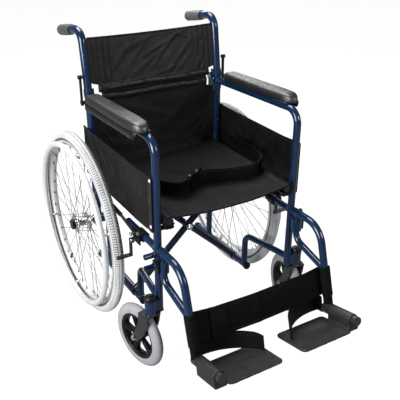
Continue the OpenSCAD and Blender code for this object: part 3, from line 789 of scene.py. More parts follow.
def cloth_piece(name, grid, thick, mat, wide, tall, sign=1, body=None, slot="black_nylon", replaces=(),
                extra=None):
    """A soft sheet over a grid of points, with its thread and UVs in its flat size."""
    ob = build(name, sheet_of(grid, thick), mat, sign, body, slot, replaces, sharp=60)
    add_uv(ob, *grid.shape[:2], wide, tall)
    if extra is not None:
        thread = build(name + "_thread", extra, M_THREAD, sign, sharp=180)
        bpy.ops.object.select_all(action="DESELECT")
        if ob.parent:
            thread.parent, thread.matrix_world = ob.parent, ob.matrix_world.copy()
            bpy.context.view_layer.update()
        thread.select_set(True)
        ob.select_set(True)
        bpy.context.view_layer.objects.active = ob
        bpy.ops.object.join()
    return ob


def between_rails(ob):
    """Bakes the placing of a piece that lies between the two seat rails into its mesh."""
    place([RAIL_X, -234, SEAT_Z])[0]
    place([-RAIL_X, -234, SEAT_Z])[0]
    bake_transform(ob)


def groove(u, lines, width, depth):
    """Heights of sewn lines across a coordinate."""
    return -sum(depth * np.exp(-((u - x) / width) ** 2) for x in lines)


def leaning(x, y, h, origin, lean):
    """Points across, behind and up along a part that leans back, measured from its origin."""
    c, s = cos(radians(lean)), sin(radians(lean))
    x, y, h = np.broadcast_arrays(x, y, h)
    return np.stack([origin[0] + x, origin[1] + y * c + h * s, origin[2] - y * s + h * c], -1)


# ---------- seat ----------
SEAT_CREASES = (
    ((-178, -430), (-60, -300), 13, 1.5), ((-150, -440), (10, -390), 10, 1.1),
    ((178, -430), (70, -330), 12, 1.5), ((-170, -80), (-40, -180), 16, 1.6),
    ((165, -70), (50, -190), 16, 1.5), ((-60, -300), (90, -280), 20, 1.1),
    ((170, -300), (60, -250), 12, 1.0), ((-175, -200), (-70, -220), 13, 1.2),
)


def seat():
    """A trough between the two seat rails, wrapped round each of them."""
    wrap_r, sag = 15.4, 14.0
    top, span = SEAT_Z + wrap_r, 2 * RAIL_X
    flat_w = span + 2 * wrap_r * radians(215)
    s, y = np.linspace(-flat_w / 2, flat_w / 2, 121), np.linspace(-446, -22, 96)
    flat = flat_points(s, y)
    grid = np.zeros((*flat.shape[:2], 3))
    over = np.abs(s) <= span / 2
    turn = (np.abs(s) - span / 2) / wrap_r
    grid[..., 0] = np.where(over, s, np.copysign(RAIL_X + wrap_r * np.sin(turn), s))[:, None]
    hang = top - sag * np.abs(1 - (2 * s / span) ** 2) ** 1.15
    grid[..., 2] = np.where(over, hang, SEAT_Z + wrap_r * np.cos(turn))[:, None]
    grid[..., 1] = y
    grid = relax(grid, by_row(unit((np.abs(s) - (RAIL_X - 8)) / 6), len(y)), 16, 0.004, 0.5, 2.5)
    up = normals_of(grid)
    up *= np.sign(up[len(s) // 2, len(y) // 2, 2])
    inside = unit((RAIL_X + 2 - np.abs(s)) / 14)[:, None]
    h = (0.9 * soft_noise(flat.shape[:2], 3, stretch=(1.0, 1.6)) + creases(flat, SEAT_CREASES)) * inside
    h += groove(np.abs(s), (158, 182), 1.8, 1.1)[:, None] + groove(y, (-437,), 1.8, 1.1) * inside
    h += hem(y, -444.5, 2.6, 1.6)
    grid = grid + up * h[:, :, None]
    lines = [grid[i, 3:-2] for i in nearest(s, (-182, -158, 158, 182))]
    lines += [grid[np.abs(s) < 186, j] for j in nearest(y, (-437,))]
    ob = cloth_piece("seat_sling_cloth", grid, 4.6, M_SEAT, flat_w, 424, replaces="seat_sling",
                     extra=seams(lines, 2.35 * Z, Z))
    between_rails(ob)
    return grid, s, y


seat_grid, seat_s, seat_y = seat()


def seat_height(x, y):
    i, j = (round(float(np.interp(at, k, np.arange(len(k))))) for at, k in ((x, seat_s), (y, seat_y)))
    return float(seat_grid[i, j, 2]) + 2.4


# ---------- back upholstery ----------
HALF_BACK = 213.0
UPPER_CREASES = (
    ((120, 168), (-40, 96), 8, 2.6), ((96, 172), (-10, 60), 7, 2.0), ((150, 150), (40, 30), 9, 2.4),
    ((30, 172), (-110, 120), 9, 2.0), ((-60, 166), (-150, 60), 10, 1.8), ((60, 130), (-80, 44), 8, 1.8),
    ((-20, 150), (-90, 70), 7, 1.6), ((140, 100), (60, 20), 8, 1.8), ((-165, 140), (-90, 30), 9, 1.5),
    ((100, 60), (-60, 24), 7, 1.6), ((40, 172), (130, 140), 6, 1.5),
)
LOWER_CREASES = (
    ((-150, 680), (60, 600), 14, 1.8), ((150, 690), (20, 560), 16, 1.8), ((-190, 560), (-40, 520), 12, 1.6),
    ((180, 600), (60, 530), 14, 1.5), ((-60, 660), (-120, 560), 12, 1.2), ((0, 530), (140, 515), 10, 1.2),
    ((-120, 500), (90, 486), 8, 1.3),
)


def back_upper():
    """The cloth between the push handles, with cords sewn in at both sides."""
    s, hgt = np.linspace(-HALF_BACK, HALF_BACK, 141), np.linspace(12, 172, 72)
    flat = flat_points(s, hgt)
    shape = flat.shape[:2]
    notch = unit((38 - hgt) / 6)
    belly = (1 - (s / HALF_BACK) ** 2)[:, None]
    grid = np.zeros((*shape, 3))
    grid[..., 0] = flat[..., 0] * (1 - notch * (HALF_BACK - 191) / HALF_BACK)
    grid[..., 1] = 5.0 * belly
    grid[..., 2] = flat[..., 1] - 3.5 * belly * np.linspace(0, 1, len(hgt)) ** 2
    pins = by_row(unit((np.abs(s) - 176) / 10), len(hgt))
    grid = relax(grid, np.maximum(pins, np.clip((hgt - 160) / 8, 0, 0.85)), 16, 0.006, 0.5, 3.0)
    h = 0.7 * soft_noise(shape, 11, stretch=(1.3, 1.0)) + creases(flat, UPPER_CREASES)
    h *= (1 - 0.75 * unit((np.abs(s) - 136) / 8))[:, None]
    cords = sum(hem(np.abs(s), at, w, k) for at, w,
                k in ((153, 7, 2.6), (172, 7, 3.0), (191, 7, 2.4), (207, 5, 1.2)))
    h += cords[:, None] * (0.8 + 0.2 * soft_noise(shape, 5, stretch=(0.3, 2)))
    seam_at = (143, 162.5, 182, 200)
    h += groove(np.abs(s), seam_at, 1.6, 1.2)[:, None]
    h += groove(hgt, (165,), 1.5, 0.9) + hem(hgt, 171, 2.4, 0.9)
    pts = leaning(grid[..., 0], grid[..., 1] - h, grid[..., 2], (0, 0, FOLD_Z), BACK_LEAN)
    lines = [pts[i, 2:-2] for i in nearest(s, [-k for k in reversed(seam_at)] + list(seam_at))]
    lines += [pts[10:-10, j] for j in nearest(hgt, (165,))]
    return cloth_piece("back_upper_cloth", pts[:, ::-1], 3.4, M_BACKCLOTH, 426, 160, body="back_right",
                       replaces="back_upper",
                       extra=seams(lines, arr(0, -1.75, -0.2), -Y))


def roll(z0, z1, half, seed, proud):
    """One of the two stuffed ridges across the fold line of the back."""
    n, m = 121, 18
    mid, hh = (z0 + z1) / 2, (z1 - z0) / 2
    a = np.arange(m) * 2 * pi / m
    ph = np.random.default_rng(seed).uniform(0, 6, 6)
    rows = []
    for x in np.linspace(-half, half, n):
        full = max(0.0, 1 - (abs(x) / half) ** 16) ** 0.5
        lump = 1 + 0.11 * sin(x / 31 + ph[0]) + 0.10 * sin(x / 13.0 + ph[1]) + 0.06 * sin(x / 6.1 + ph[2])
        front = proud * (0.35 + 0.65 * full) * lump
        y = np.where(np.cos(a) > 0, -front * np.abs(np.cos(a)) ** 0.8, 2.2 * np.abs(np.cos(a)))
        z = mid + (hh * (0.86 + 0.14 * full)) * np.sin(a) + 0.9 * sin(x / 40 + ph[3])
        rows.append(np.c_[np.full(m, x), y, z])
    return np.vstack(rows), tube_faces(n, m)


def back_lower():
    """The cloth between the rear posts, set back round the seat rail cradles."""
    s, z = np.linspace(-HALF_BACK, HALF_BACK, 121), np.linspace(464, 706, 90)
    flat = flat_points(s, z)
    notch, foot = unit((z - 680) / 6), unit((516 - z) / 8)
    belly = (1 - (s / HALF_BACK) ** 2)[:, None] * np.sin(pi * unit((z - 462) / 250)) ** 0.6
    grid = np.zeros((*flat.shape[:2], 3))
    grid[..., 0] = flat[...,
                        0] * (1 - notch * (HALF_BACK - 184) / HALF_BACK
                              - foot * (HALF_BACK - 216) / HALF_BACK)
    grid[..., 2] = flat[..., 1]
    set_back = unit((516 - z) / 14) * unit((np.abs(s) - 96) / 26)[:, None]
    grid[..., 1] = 9.0 * belly - 1 + 6.4 * set_back
    pins = by_row(unit((np.abs(s) - 186) / 10), len(z))
    grid = relax(grid, np.maximum(pins, unit((z - 686) / 8)), 14, 0.006, 0.5, 3.0)
    h = 0.6 * soft_noise(flat.shape[:2], 21, stretch=(1.2, 1.0)) + creases(flat, LOWER_CREASES)
    grid[..., 1] -= h + groove(np.abs(s), (190, 203), 1.6, 1.0)[:, None]
    lines = [grid[i, 2:-18] for i in nearest(s, (-203, -190, 190, 203))]
    return cloth_piece("back_lower_cloth", grid[:, ::-1], 3.2, M_BACKCLOTH, 426, 242, body="frame_right",
                       replaces="back_lower",
                       extra=seams(lines, -1.7 * Y, -Y))


def hinge_strip():
    """Cloth round the hinge line, between the two halves of the back."""
    x, t = np.linspace(-184, 184, 60)[:, None], np.linspace(0, 1.0, 12)[None, :]
    grid = np.stack(np.broadcast_arrays(x, 3.6 - 1.5 * np.sin(pi * t), 700 + 27 * t), -1)
    return cloth_piece("back_hinge_strip", grid[:, ::-1], 1.6, M_BACKCLOTH, 368, 27.5, body="frame_right")


upper, lower = back_upper(), back_lower()
v, f = roll(0, 26, 193, 31, 13.5)
v = leaning(v[:, 0], v[:, 1] - 0.5, v[:, 2] + 8, (0, 0, FOLD_Z), BACK_LEAN)
top_roll = build("back_ridge_upper", (v, f), M_BACKCLOTH, 1, "back_right", "black_nylon", sharp=70)
low_roll = build("back_ridge_lower", roll(689, 716, 184, 47, 12.5), M_BACKCLOTH, 1, "frame_right",
                 "black_nylon", sharp=70)
for ob, height in ((upper, 790), (lower, 590), (top_roll, 730), (low_roll, 705), (hinge_strip(), 712)):
    place([-212, 0, height])[0]
    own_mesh(ob)


# ---------- side panels ----------
SKIRT_CREASES = (
    ((-30, 600), (-120, 500), 9, 1.7), ((-70, 612), (-180, 520), 11, 1.8),
    ((-140, 610), (-230, 500), 9, 1.4), ((0, 560), (-90, 470), 10, 1.5), ((-210, 606), (-300, 520), 12, 1.3),
    ((-290, 600), (-360, 500), 11, 1.2), ((-20, 500), (-150, 466), 9, 1.2),
    ((-100, 590), (-40, 540), 8, 1.1),
)


def side_panel(side, sign):
    """Cloth from the front post to the rear one, with its clamping strip and studs."""
    y, z = np.linspace(POST_Y - 2, 27, 121), np.linspace(456.5, 615.5, 46)
    flat = flat_points(y, z)
    grid = np.concatenate([np.full((*flat.shape[:2], 1), -239.4), flat], -1)
    pins = np.maximum(unit((POST_Y + 26 - y) / 6), unit((y - 6) / 6))
    grid = relax(grid, by_row(pins, len(z)), 18, 0.008, 0.6, 4)
    h = 0.9 * soft_noise(flat.shape[:2], 5 + sign, octaves=((4, 1.0), (8, 0.6), (16, 0.2)),
                         stretch=(1.4, 0.6))
    edge = np.minimum(unit((y - POST_Y - 24) / 14), unit((12 - y) / 14))[:, None]
    h = (h + creases(flat, SKIRT_CREASES)) * edge * np.clip((615 - z) / 10, 0.25, 1)
    h += hem(z, 611, 3.2, 0.9) + hem(z, 461, 3.2, 0.9) + groove(z, (605,), 1.4, 0.7)
    h += groove(y, (POST_Y + 24, POST_Y + 28, 8), 1.5, 0.7)[:, None]
    grid[..., 0] -= h
    lines = [grid[2:-2, j] for j in nearest(z, (605,))]
    lines += [grid[i, 2:-2] for i in nearest(y, (POST_Y + 24, 8))]
    cloth_piece(f"side_panel_cloth_{side}", grid, 2.3, M_SKIRT, 453, 159, sign, f"frame_{side}",
                replaces=f"side_panel_{side}",
                extra=seams(lines, -1.25 * X, -X))
    v, f = swapped(prism(rounded_rect(POST_Y - 3, 457, POST_Y + 17, 615, 4), 0, 1.7), (2, 0, 1))
    strip = (v - 242.6 * X, [g[::-1] for g in f])
    put(side, "side_panel_strip", strip, M_BLACK, "frame", "black_nylon", bevel=0.5)
    studs = joined(*[button((-242.4, POST_Y + 3, h), -X, 4.6, 2.6) for h in (607, 474)])
    put(side, "side_panel_studs", studs, M_WHITE, "frame", "bright_metal")
    rear = joined(*[button((-241.4, 16, h), -X, 4.2, 2.2) for h in (596, 536, 476)])
    put(side, "side_panel_rear_studs", rear, M_BLACK, "frame", "black_plastic")


def strap_droop(x):
    """How far the calf strap hangs below its sleeve, at a distance from the tube."""
    return -5.0 * unit(x / FRAME_X) ** 1.2 - 4.5 * unit((x - 20) / 60)


def calf_strap(side, sign):
    """Half of the strap: a sleeve round the footrest's tube, and the band from its back."""
    tail = FRAME_X + (-1.0 if side == "right" else 24.0)
    pts = [(14.2, 4), (13.8, -4), (7, -12.6), (-6, -13), (-13.4, -6), (-14, 4), (-8, 12.2), (4, 14.6),
           (18, 14.4), (40, 13.2), (70, 12.8), (150, 13.0), (tail, 13.2)]
    path = smooth_path([(x, y, 0) for x, y in pts], 150)
    h = np.linspace(-95, -9, 22)
    along = lengths(path)
    x, wide = path[:, :1], unit((path[:, :1] - 20) / 60)
    noise = soft_noise((len(path), len(h)), 60 + sign, stretch=(2.0, 0.5))
    bow = 2.6 * wide * np.cos((h + 52) / 43 * pi / 2) + 1.2 * noise * wide
    y = path[:, 1:2] - bow - hem(h, -91, 2.5, 0.7) - hem(h, -13, 2.5, 0.7)
    if side == "left":
        y += 1.9 * unit((x - 60) / 30)
    grid = leaning(x, y, h + strap_droop(x) * (x > 16) + 0.5 * noise, HANGER_MID, HANGER_LEAN)
    rest = path[:, 0] > 26
    rest[:90] = False
    thread = seams([grid[rest][:-3, j] for j in (2, len(h) - 3)], -1.6 * Y, -Y)
    # the sleeve round the tube and the band are two pieces on the hanger
    k = len(path) - 1 - int(np.argmax(path[::-1, 0] < 22))
    hanger = f"hanger_{side}"
    cloth_piece(f"calf_strap_{side}_sleeve", grid[:k + 1, ::-1], 2.6, M_STRAP, along[k], 86, sign, hanger,
                "webbing")
    band = cloth_piece(f"calf_strap_{side}_cloth", grid[k:, ::-1], 2.6, M_STRAP, along[-1] - along[k], 86,
                       sign, hanger, "webbing", f"calf_strap_{side}", extra=thread)
    anchor = place([-sign * (FRAME_X - path[k, 0]), -600, 250])[0]
    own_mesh(band)
    if side == "right":
        over = strap_tail(path[k - 4:])
        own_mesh(over)


def strap_tail(band):
    """Loose end of the strap's fastening, lying on the front of the band."""
    x, h = np.linspace(112, 62, 36)[:, None], np.linspace(-97, -7, 22)
    wide = unit((x - 20) / 60)
    y = np.interp(x, band[:, 0], band[:, 1]) - 4.4 - 3.0 * wide * np.cos((h + 52) / 45 * pi / 2)
    grid = leaning(x, y, h + strap_droop(x), HANGER_MID, HANGER_LEAN)
    return cloth_piece("calf_strap_tail_cloth", grid, 2.4, M_STRAP, 50, 90, 1, "hanger_right", "webbing")


def plate_points(x, y, z):
    return leaning(x, y, z, PLATE_AT, PLATE_TILT)


def on_plate(part):
    return plate_points(*np.array(part[0], float).T), part[1]


def plan_normals(path):
    """Sideways directions of a path that is seen from above."""
    n = np.gradient(path, axis=0)
    return np.c_[-n[:, 1], n[:, 0]] / np.linalg.norm(n[:, :2], axis=1)[:, None]


def heel_loop(side, sign):
    """Webbing from the footrest's upright round the heel to the plate, and its turn round the upright."""
    cx, cy, r = 30.7, -115, 161.0
    arc = [(cx + r * cos(a), cy + r * sin(a), 0) for a in np.radians(np.linspace(98, 25, 12))]
    path = smooth_path([(7.5, 21.5, 0), (6.5, 32, 0), *arc], 90)
    z, along = np.linspace(-19.2, 30.2, 14), lengths(path)
    t = (along / along[-1])[:, None]
    flare = 2.5 * np.sin(pi * t) * (z / 25)
    out = plan_normals(path)
    lift = 2.0 * np.sin(pi * t) - 6 * unit((t - 0.86) / 0.14) ** 2 * (z > 10)
    grid = plate_points(path[:, :1] + out[:, :1] * flare, path[:, 1:2] + out[:, 1:] * flare, z + lift + 1.5)
    ob = cloth_piece(f"heel_loop_{side}_band", grid[:, ::-1], 2.6, M_WEB, along[-1], 50, sign, None,
                     "webbing", f"heel_loop_{side}",
                     extra=seams([grid[3:-3, j] for j in (2, len(z) - 3)], -1.5 * Y, -Y))
    a, b = plate_points(4, 20, 10), plate_points(178, -48, -18)
    for p in (a, b):
        p[0] *= sign
    place(a)[0]
    place(b)[0]
    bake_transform(ob)
    turn = np.radians(np.linspace(80, -235, 40))[:, None]
    wrap_r = 12.6
    g = plate_points(-4 + wrap_r * np.cos(turn), 7 + wrap_r * np.sin(turn), 6 + (z + 19.2) / 49.4 * 40)
    g[..., 1] += (g[..., 2] - 203) * tan(radians(HANGER_LEAN - PLATE_TILT)) * 0.9
    cloth_piece(f"heel_loop_{side}_wrap", g[:, ::-1], 2.2, M_WEB, wrap_r * radians(315), 40, sign,
                f"footrest_{side}", "webbing")


# ---------- lap belt ----------
BELT_HIGH = 46.0
BELT_RIGHT = [(-201, -196), (-200, -230), (-188, -264), (-158, -300), (-128, -325), (-98, -334), (-70, -322),
              (-40, -304)]
BELT_LEFT = [(203, -110), (203, -180), (203, -256), (192, -304), (168, -334), (128, -341), (96, -334),
             (60, -316), (10, -296), (-30, -293)]


def belt(name, route, flip):
    """Webbing standing on edge on the seat."""
    path = smooth_path([(x, y, 0) for x, y in route], 110)
    u = np.linspace(0, 1, 12)
    wave = 3.5 * np.sin(np.arange(len(path)) / 17.0)[:, None] * u + 2.2 * np.sin(u * pi)
    base = np.array([seat_height(x, y) + 1.2 for x, y, _ in path])[:, None]
    out = plan_normals(path)
    grid = np.stack([path[:, :1] + out[:, :1] * wave, path[:, 1:2] + out[:, 1:] * wave,
                     base + u * BELT_HIGH], -1)
    ob = cloth_piece(f"{name}_webbing", grid[:, ::-1] if flip else grid, 2.2, M_WEB, lengths(path)[-1],
                     BELT_HIGH, 1, None, "webbing", name,
                     extra=seams([grid[3:-3, j] for j in (1, len(u) - 2)], -1.2 * Y, -Y))
    between_rails(ob)
    return grid


def buckle(grid_r, grid_l):
    """Side-release buckle standing on edge between the two halves of the belt."""
    a, b = grid_r[-1, 5], grid_l[-1, 5]
    mid = (a + b)[:2] / 2
    way = (b - a)[:2] / np.linalg.norm((b - a)[:2])
    nrm = arr(-way[1], way[0])
    foot = min(grid_r[-1, 0, 2], grid_l[-1, 0, 2]) + 0.5
    parts = [prism(rounded_rect(-34, 0, -4, 52, 5), -5, 5), prism(rounded_rect(8, 0, 36, 52, 5), -5, 5),
             prism([(-5, 6), (9, 3), (9, 49), (-5, 46)], -3.6, 3.6)]
    parts += [prism(rounded_rect(-22, y, 12, y + 7, 3), -6.2, 6.2) for y in (3, 42)]
    parts += [prism(rounded_rect(x, 4, x + 3, 48, 1.4), -7, 7) for x in (-30, 29)]
    v, f = joined(*parts)
    v = np.c_[mid + v[:, :1] * way + v[:, 2:] * nrm, foot + v[:, 1]]
    ob = build("lap_belt_buckle", (v, f), M_GLOSSBLACK, 1, None, "black_plastic", bevel=1.2)
    bpy.context.view_layer.objects.active = ob
    bpy.ops.object.modifier_apply(modifier="edges")
    between_rails(ob)


for side, sign in SIGN.items():
    side_panel(side, sign)
    calf_strap(side, sign)
    heel_loop(side, sign)
buckle(belt("lap_belt_right", BELT_RIGHT, False), belt("lap_belt_left", BELT_LEFT, True))


# ---------- armrest pads ----------
ARM_SLOPE = degrees(atan((ARM_FRONT_Z - ARM_Z) / POST_Y))
PAD_OUT, PAD_START, PAD_SCALE = 12.0, 44.0, 0.90


def on_arm(sections, start, scale, outward):
    """A tube of sections, each a place along the arm and points (across, up from its middle)."""
    v = np.array([[(p, start + s * scale, q) for p, q in section] for s, section in sections], float)
    n, m = v.shape[:2]
    x, y, z = v.reshape(-1, 3).T
    return leaning(x, -y, z, (-FRAME_X - PAD_OUT, 0, ARM_Z), -ARM_SLOPE), tube_faces(n, m, outward)


def arm_pad(side, sign):
    """Padded skin with rounded ends, on a moulded tray with a deep outer lip."""
    stations = np.r_[np.linspace(0, 1, 9) ** 2 * 24, np.linspace(34, 352, 24),
                     391 - np.linspace(1, 0, 11) ** 2 * 34]
    n = 26
    a = np.linspace(0, pi, n)
    swell = 0.5 * soft_noise((len(stations), n + 7), 81 + sign, octaves=((4, 1.0), (9, 0.6)), stretch=(2, 1))
    swell *= np.sin(np.linspace(0, pi, len(stations)))[:, None]
    skin, tray = [], []
    for s, dents in zip(stations, swell):
        front, rear = max(0.0, (s - 349) / 42), max(0.0, (26 - s) / 26)
        end = max(0.06, (1 - front ** 2.3) ** 0.5) * max(0.1, (1 - rear ** 2.4) ** 0.5)
        nose = 1 - 0.2 * unit((s - 290) / 100) ** 1.5
        w = 27.0 * end * nose * (0.93 + 0.07 * unit(s / 260))
        crown = 21.5 * (1 - front ** 2.8) ** 0.5 * (1 - 0.85 * rear ** 2.2) ** 0.5 if front < 1 else 0.0
        crown = max(crown, 2.5) * (0.92 + 0.08 * unit(s / 300))
        x = w * np.sign(np.cos(a)) * np.abs(np.cos(a)) ** 0.5
        z = 17.0 + crown * np.abs(np.sin(a)) ** 0.62 + dents[:n]
        under = [(-w * k, q) for k, q in ((0.99, 14.9), (0.93, 13.7), (0.5, 13.3), (0, 13.3), (-0.5, 13.3),
                                          (-0.93, 13.7), (-0.99, 14.9))]
        skin.append((s, list(zip(x, z)) + under))
        front, rear = max(0.0, (s - 355) / 36), max(0.0, (22 - s) / 22)
        end = max(0.08, (1 - front ** 2.4) ** 0.5) * max(0.12, (1 - rear ** 2.4) ** 0.5)
        w = 25.4 * end
        low = 11.3 - 18.3 * unit((end - 0.7) / 0.25)
        tray.append((s, [(-w, 14.0), (-w - 0.9, 13.0), (-w - 0.9, min(low + 2, 12.4)), (-w + 0.8 * end, low),
                         (-w + 4 * end, low), (-w + 5.5 * end, min(low + 2, 11.4)), (-w + 6.5 * end, 11.4),
                         (w - 4.5 * end, 11.4), (w - 2.2 * end, 11.6), (w, 12.2), (w + 0.9, 13.0),
                         (w, 14.0)]))
    pad = put(side, "arm_pad_skin", on_arm(skin, PAD_START, PAD_SCALE, False), M_VINYL, "frame", "pad_black",
              "arm_pad", sharp=50, subsurf=1)
    part = on_arm(tray, PAD_START + 0.8, PAD_SCALE - 0.003, True)
    put(side, "arm_pad_tray", part, M_BLACK, "frame", "black_plastic", sharp=50)


# ---------- grips ----------
HANDLE_Z, HANDLE_DROOP, HANDLE_LEN, GRIP_LEN = 904.0, radians(10.8), 168.0, 91.6
corner = arr(-FRAME_X, (HANDLE_Z - FOLD_Z) * tan(radians(BACK_LEAN)), HANDLE_Z)
handle_dir = arr(0, cos(HANDLE_DROOP), -sin(HANDLE_DROOP))
handle_end = corner + handle_dir * HANDLE_LEN


def grip(side):
    """Rubber sleeve with finger hollows below, fine ridges round its sides and top, and a collar."""
    n_along, n_round = 150, 48
    around = np.arange(n_round) * 2 * pi / n_round
    up = np.cross(X, handle_dir)
    rows = []
    for t in np.linspace(0, GRIP_LEN, n_along):
        r = min(15.6 + 1.3 * sin(pi * t / GRIP_LEN) ** 0.7, 16.9)
        if t < 5:
            r = 13.4 + 2.6 * (t / 5) ** 0.5
        if t > 80:
            r = 16.2 * max(0.0, 1 - ((t - 80) / 12.2) ** 2.4) ** 0.5 + 0.4
        finger = 0.75 * (1 + cos(2 * pi * (t - 14) / 23)) * (14 < t < 80)
        ridge = 0.275 * (1 + cos(2 * pi * t / 3.4)) * (8 < t < 82)
        k = min(r, 16.95) - finger * np.maximum(0, -np.sin(around)) ** 1.3 - ridge * (np.sin(around) > -0.15)
        rows.append(handle_end - handle_dir * (87.8 - t) + np.outer(k * np.cos(around), X)
                    + np.outer(k * np.sin(around), up))
    part = (np.vstack(rows), tube_faces(n_along, n_round))
    put(side, "grip_sleeve", part, M_GRIP, "back", "grip_rubber", "grip", sharp=60)
    profile = [(12.1, 0), (15.4, 0), (15.9, 1), (15.9, 3.4), (15.2, 4.6), (12.1, 4.6)]
    collar = lathe(profile, handle_end - handle_dir * 92.4, handle_dir, 32)
    put(side, "grip_collar", collar, M_GRIP, "back", "grip_rubber")


# ---------- footplates ----------
def tread():
    """The plate: rounded corners, a raised edge and a field of small studs."""
    x0, x1, y0, y1, corner_r, nx, ny = 18.0, 189.0, -117.0, 12.0, 15.0, 58, 44
    x, y = np.linspace(x0, x1, nx), np.linspace(y0, y1, ny)
    gx, gy = np.meshgrid(x, y, indexing="ij")
    inner = np.minimum(np.minimum(gx - x0, x1 - gx), np.minimum(gy - y0, y1 - gy))
    cx, cy = np.clip(gx, x0 + corner_r, x1 - corner_r), np.clip(gy, y0 + corner_r, y1 - corner_r)
    dx, dy = gx - cx, gy - cy
    dist, box = np.hypot(dx, dy), np.maximum(np.abs(dx), np.abs(dy))
    k = np.where(dist > 1e-6, np.minimum(1, box / np.maximum(dist, 1e-6)), 1)
    gx, gy = cx + dx * k, cy + dy * k
    studs = 0.55 * (np.arange(nx)[:, None] % 2) * (np.arange(ny) % 2) * (inner > 7)
    top = -20.9 + studs + hem(inner, 3, 1.8, 0.9) - hem(inner, 0, 1.3, 1.6)
    return closed_sheet(np.stack([gx, gy, top], -1), np.stack([gx, gy, -28 + hem(inner, 0, 1.3, 1.5)], -1))


def footplate(side):
    put(side, "footplate_tread", on_plate(tread()), M_PLATE, "footplate", "grey_plastic", "footplate",
        sharp=30)
    ribs = [block((x, -112, -31.5), (x + 3, 8, -27.5)) for x in (40, 75, 110, 145)]
    ribs += [block((26, y, -31.5), (182, y + 3, -27.5)) for y in (-84, -50, -16)]
    put(side, "footplate_ribs", on_plate(joined(*ribs)), M_PLATE, "footplate", "grey_plastic", bevel=0.5)
    # housing along the outer edge: round on top, flat outer side, square foot
    arc = [(17 * cos(t), 17 * sin(t)) for t in np.linspace(pi, 0, 17)]
    outline = [(17, -20), (20, -24), (20, -33), (-14, -33), (-17, -30), *arc]
    house = swapped(prism(outline, -102.4, -12.7), (0, 2, 1))
    put(side, "footplate_housing", on_plate(house), M_PLATE, "footplate", "grey_plastic", bevel=2.2)
    ring = lathe([(6.2, 0), (15.2, 0), (15.6, 0.9), (13.6, 1.0), (12.6, 0.2), (6.2, 0.2)], -102.3 * Y, -Y,
                 36)
    put(side, "footplate_ring", on_plate(ring), M_GLOSSBLACK, "footplate", "grey_plastic")

    def lobes(a, j):
        return np.where((j >= 3) & (j <= 6), -0.55 * (1 + np.cos(a * 9)), 0.0)

    profile = [(6.1, 103.0), (10.5, 103.2), (11.5, 105.4), (13.9, 106.4), (14, 109), (14, 113.5),
               (13.2, 116.4), (11, 117.9), (7.5, 118), (6.6, 117), (0.01, 116.8)]
    knob = lathe(profile, 0 * Y, -Y, 72, wave=lobes)
    put(side, "footplate_knob", on_plate(knob), M_GLOSSBLACK, "footrest", "black_plastic")


for side, sign in SIGN.items():
    arm_pad(side, sign)
    grip(side)
    footplate(side)


# ---------- small fittings on the frame ----------
def weld_ring(at, axis, r, seed):
    """A weld bead: overlapping ripples round a tube."""
    ph, wide = seed * 1.7, 2.4

    def ripple(a, j):
        return np.where((j > 0) & (j < 4), 0.45 * np.sin(a * 23 + ph) + 0.25 * np.sin(a * 9 + ph), 0.0)

    half = wide * 0.5
    profile = [(r - 0.4, -wide), (r + 1.0, -half), (r + 1.5, 0), (r + 1.0, half), (r - 0.4, wide)]
    return lathe(profile, at, axis, 60, wave=ripple)


WELDS = (
    ((-FRAME_X, POST_Y + 11.5, 402), Y, SMALL_R), ((-FRAME_X, -12.4, ARM_Z + 0.5), Y, TUBE_R),
    ((-RAIL_X, -12, RAIL_Z + 12), Z, SMALL_R), ((-RAIL_X, -240, RAIL_Z + 12), Z, SMALL_R),
    ((-FRAME_X - 12, POST_Y, 388), X, 8), ((-FRAME_X - 12, POST_Y, 352), X, 8),
    ((-FRAME_X, POST_Y + 12.5, 237.6), (0.15, 1, 0), SMALL_R),
)
STUB_CAP = [(0.01, 1.6), (5, 1.5), (7.4, 0.4), (7.6, -0.4)]
RAIL_PLUG = [(11.2, 0.2), (13, 0.2), (13, 2), (12.4, 3), (13, 4), (12.4, 5), (13, 6), (12.4, 7), (13, 8),
             (12.6, 12), (10.6, 15.4), (6, 16), (0.01, 16)]
PLUGS = (
    ([(0.01, -9.6), (9, -9.6), (11.6, -8.2), (12.5, -5.5), (12.5, 0), (11.2, 0.1)],
     (-RAIL_X, -252.2, RAIL_Z), Y, 32),
    (RAIL_PLUG, (-RAIL_X, 62.0, RAIL_Z), Y, 32),
    ([(0.01, 6), (7, 6), (9.6, 4.6), (10.5, 2), (10.5, 0.1), (9, 0)], (-FRAME_X, -242.9, 402), Y, 28),
    ([(0.01, 13), (10, 12.9), (15, 11.6), (17, 8.6), (17, 0.2), (16.2, 0)], (-STEM_X, STEM_Y, 250.1), Z, 36),
    (STUB_CAP, (-267, POST_Y, 388), -X, 24), (STUB_CAP, (-267, POST_Y, 352), -X, 24),
    ([(11.2, 0), (12.2, -0.2), (12.3, -2.0), (10.4, -3.2), (0.01, -3.4)], (-FRAME_X, POST_Y, 205.9), Z, 28),
)


def cradles():
    """Rests for the seat rail: in front on the post, behind on the rear post."""
    def bow(r, z, start, end):
        return [(-(RAIL_X + r * cos(t)), z + r * sin(t)) for t in np.radians(np.linspace(start, end, 15))]

    parts = []
    for y0, y1, foot in ((-437, -413, 458), (-23, 1, 448)):
        cup = bow(13.0, SEAT_Z - 2.9, 200, 340) + bow(17.5, SEAT_Z - 3.4, 340, 200)
        parts.append(swapped(prism(cup, y0, y1), (0, 2, 1)))
        parts.append(block((-RAIL_X - 9, y0 + 4, foot), (-RAIL_X + 9, y1 - 4, 466)))
    parts.insert(2, block((-FRAME_X + 9, -432, 460), (-RAIL_X + 4, -418, 468)))
    return joined(*parts)


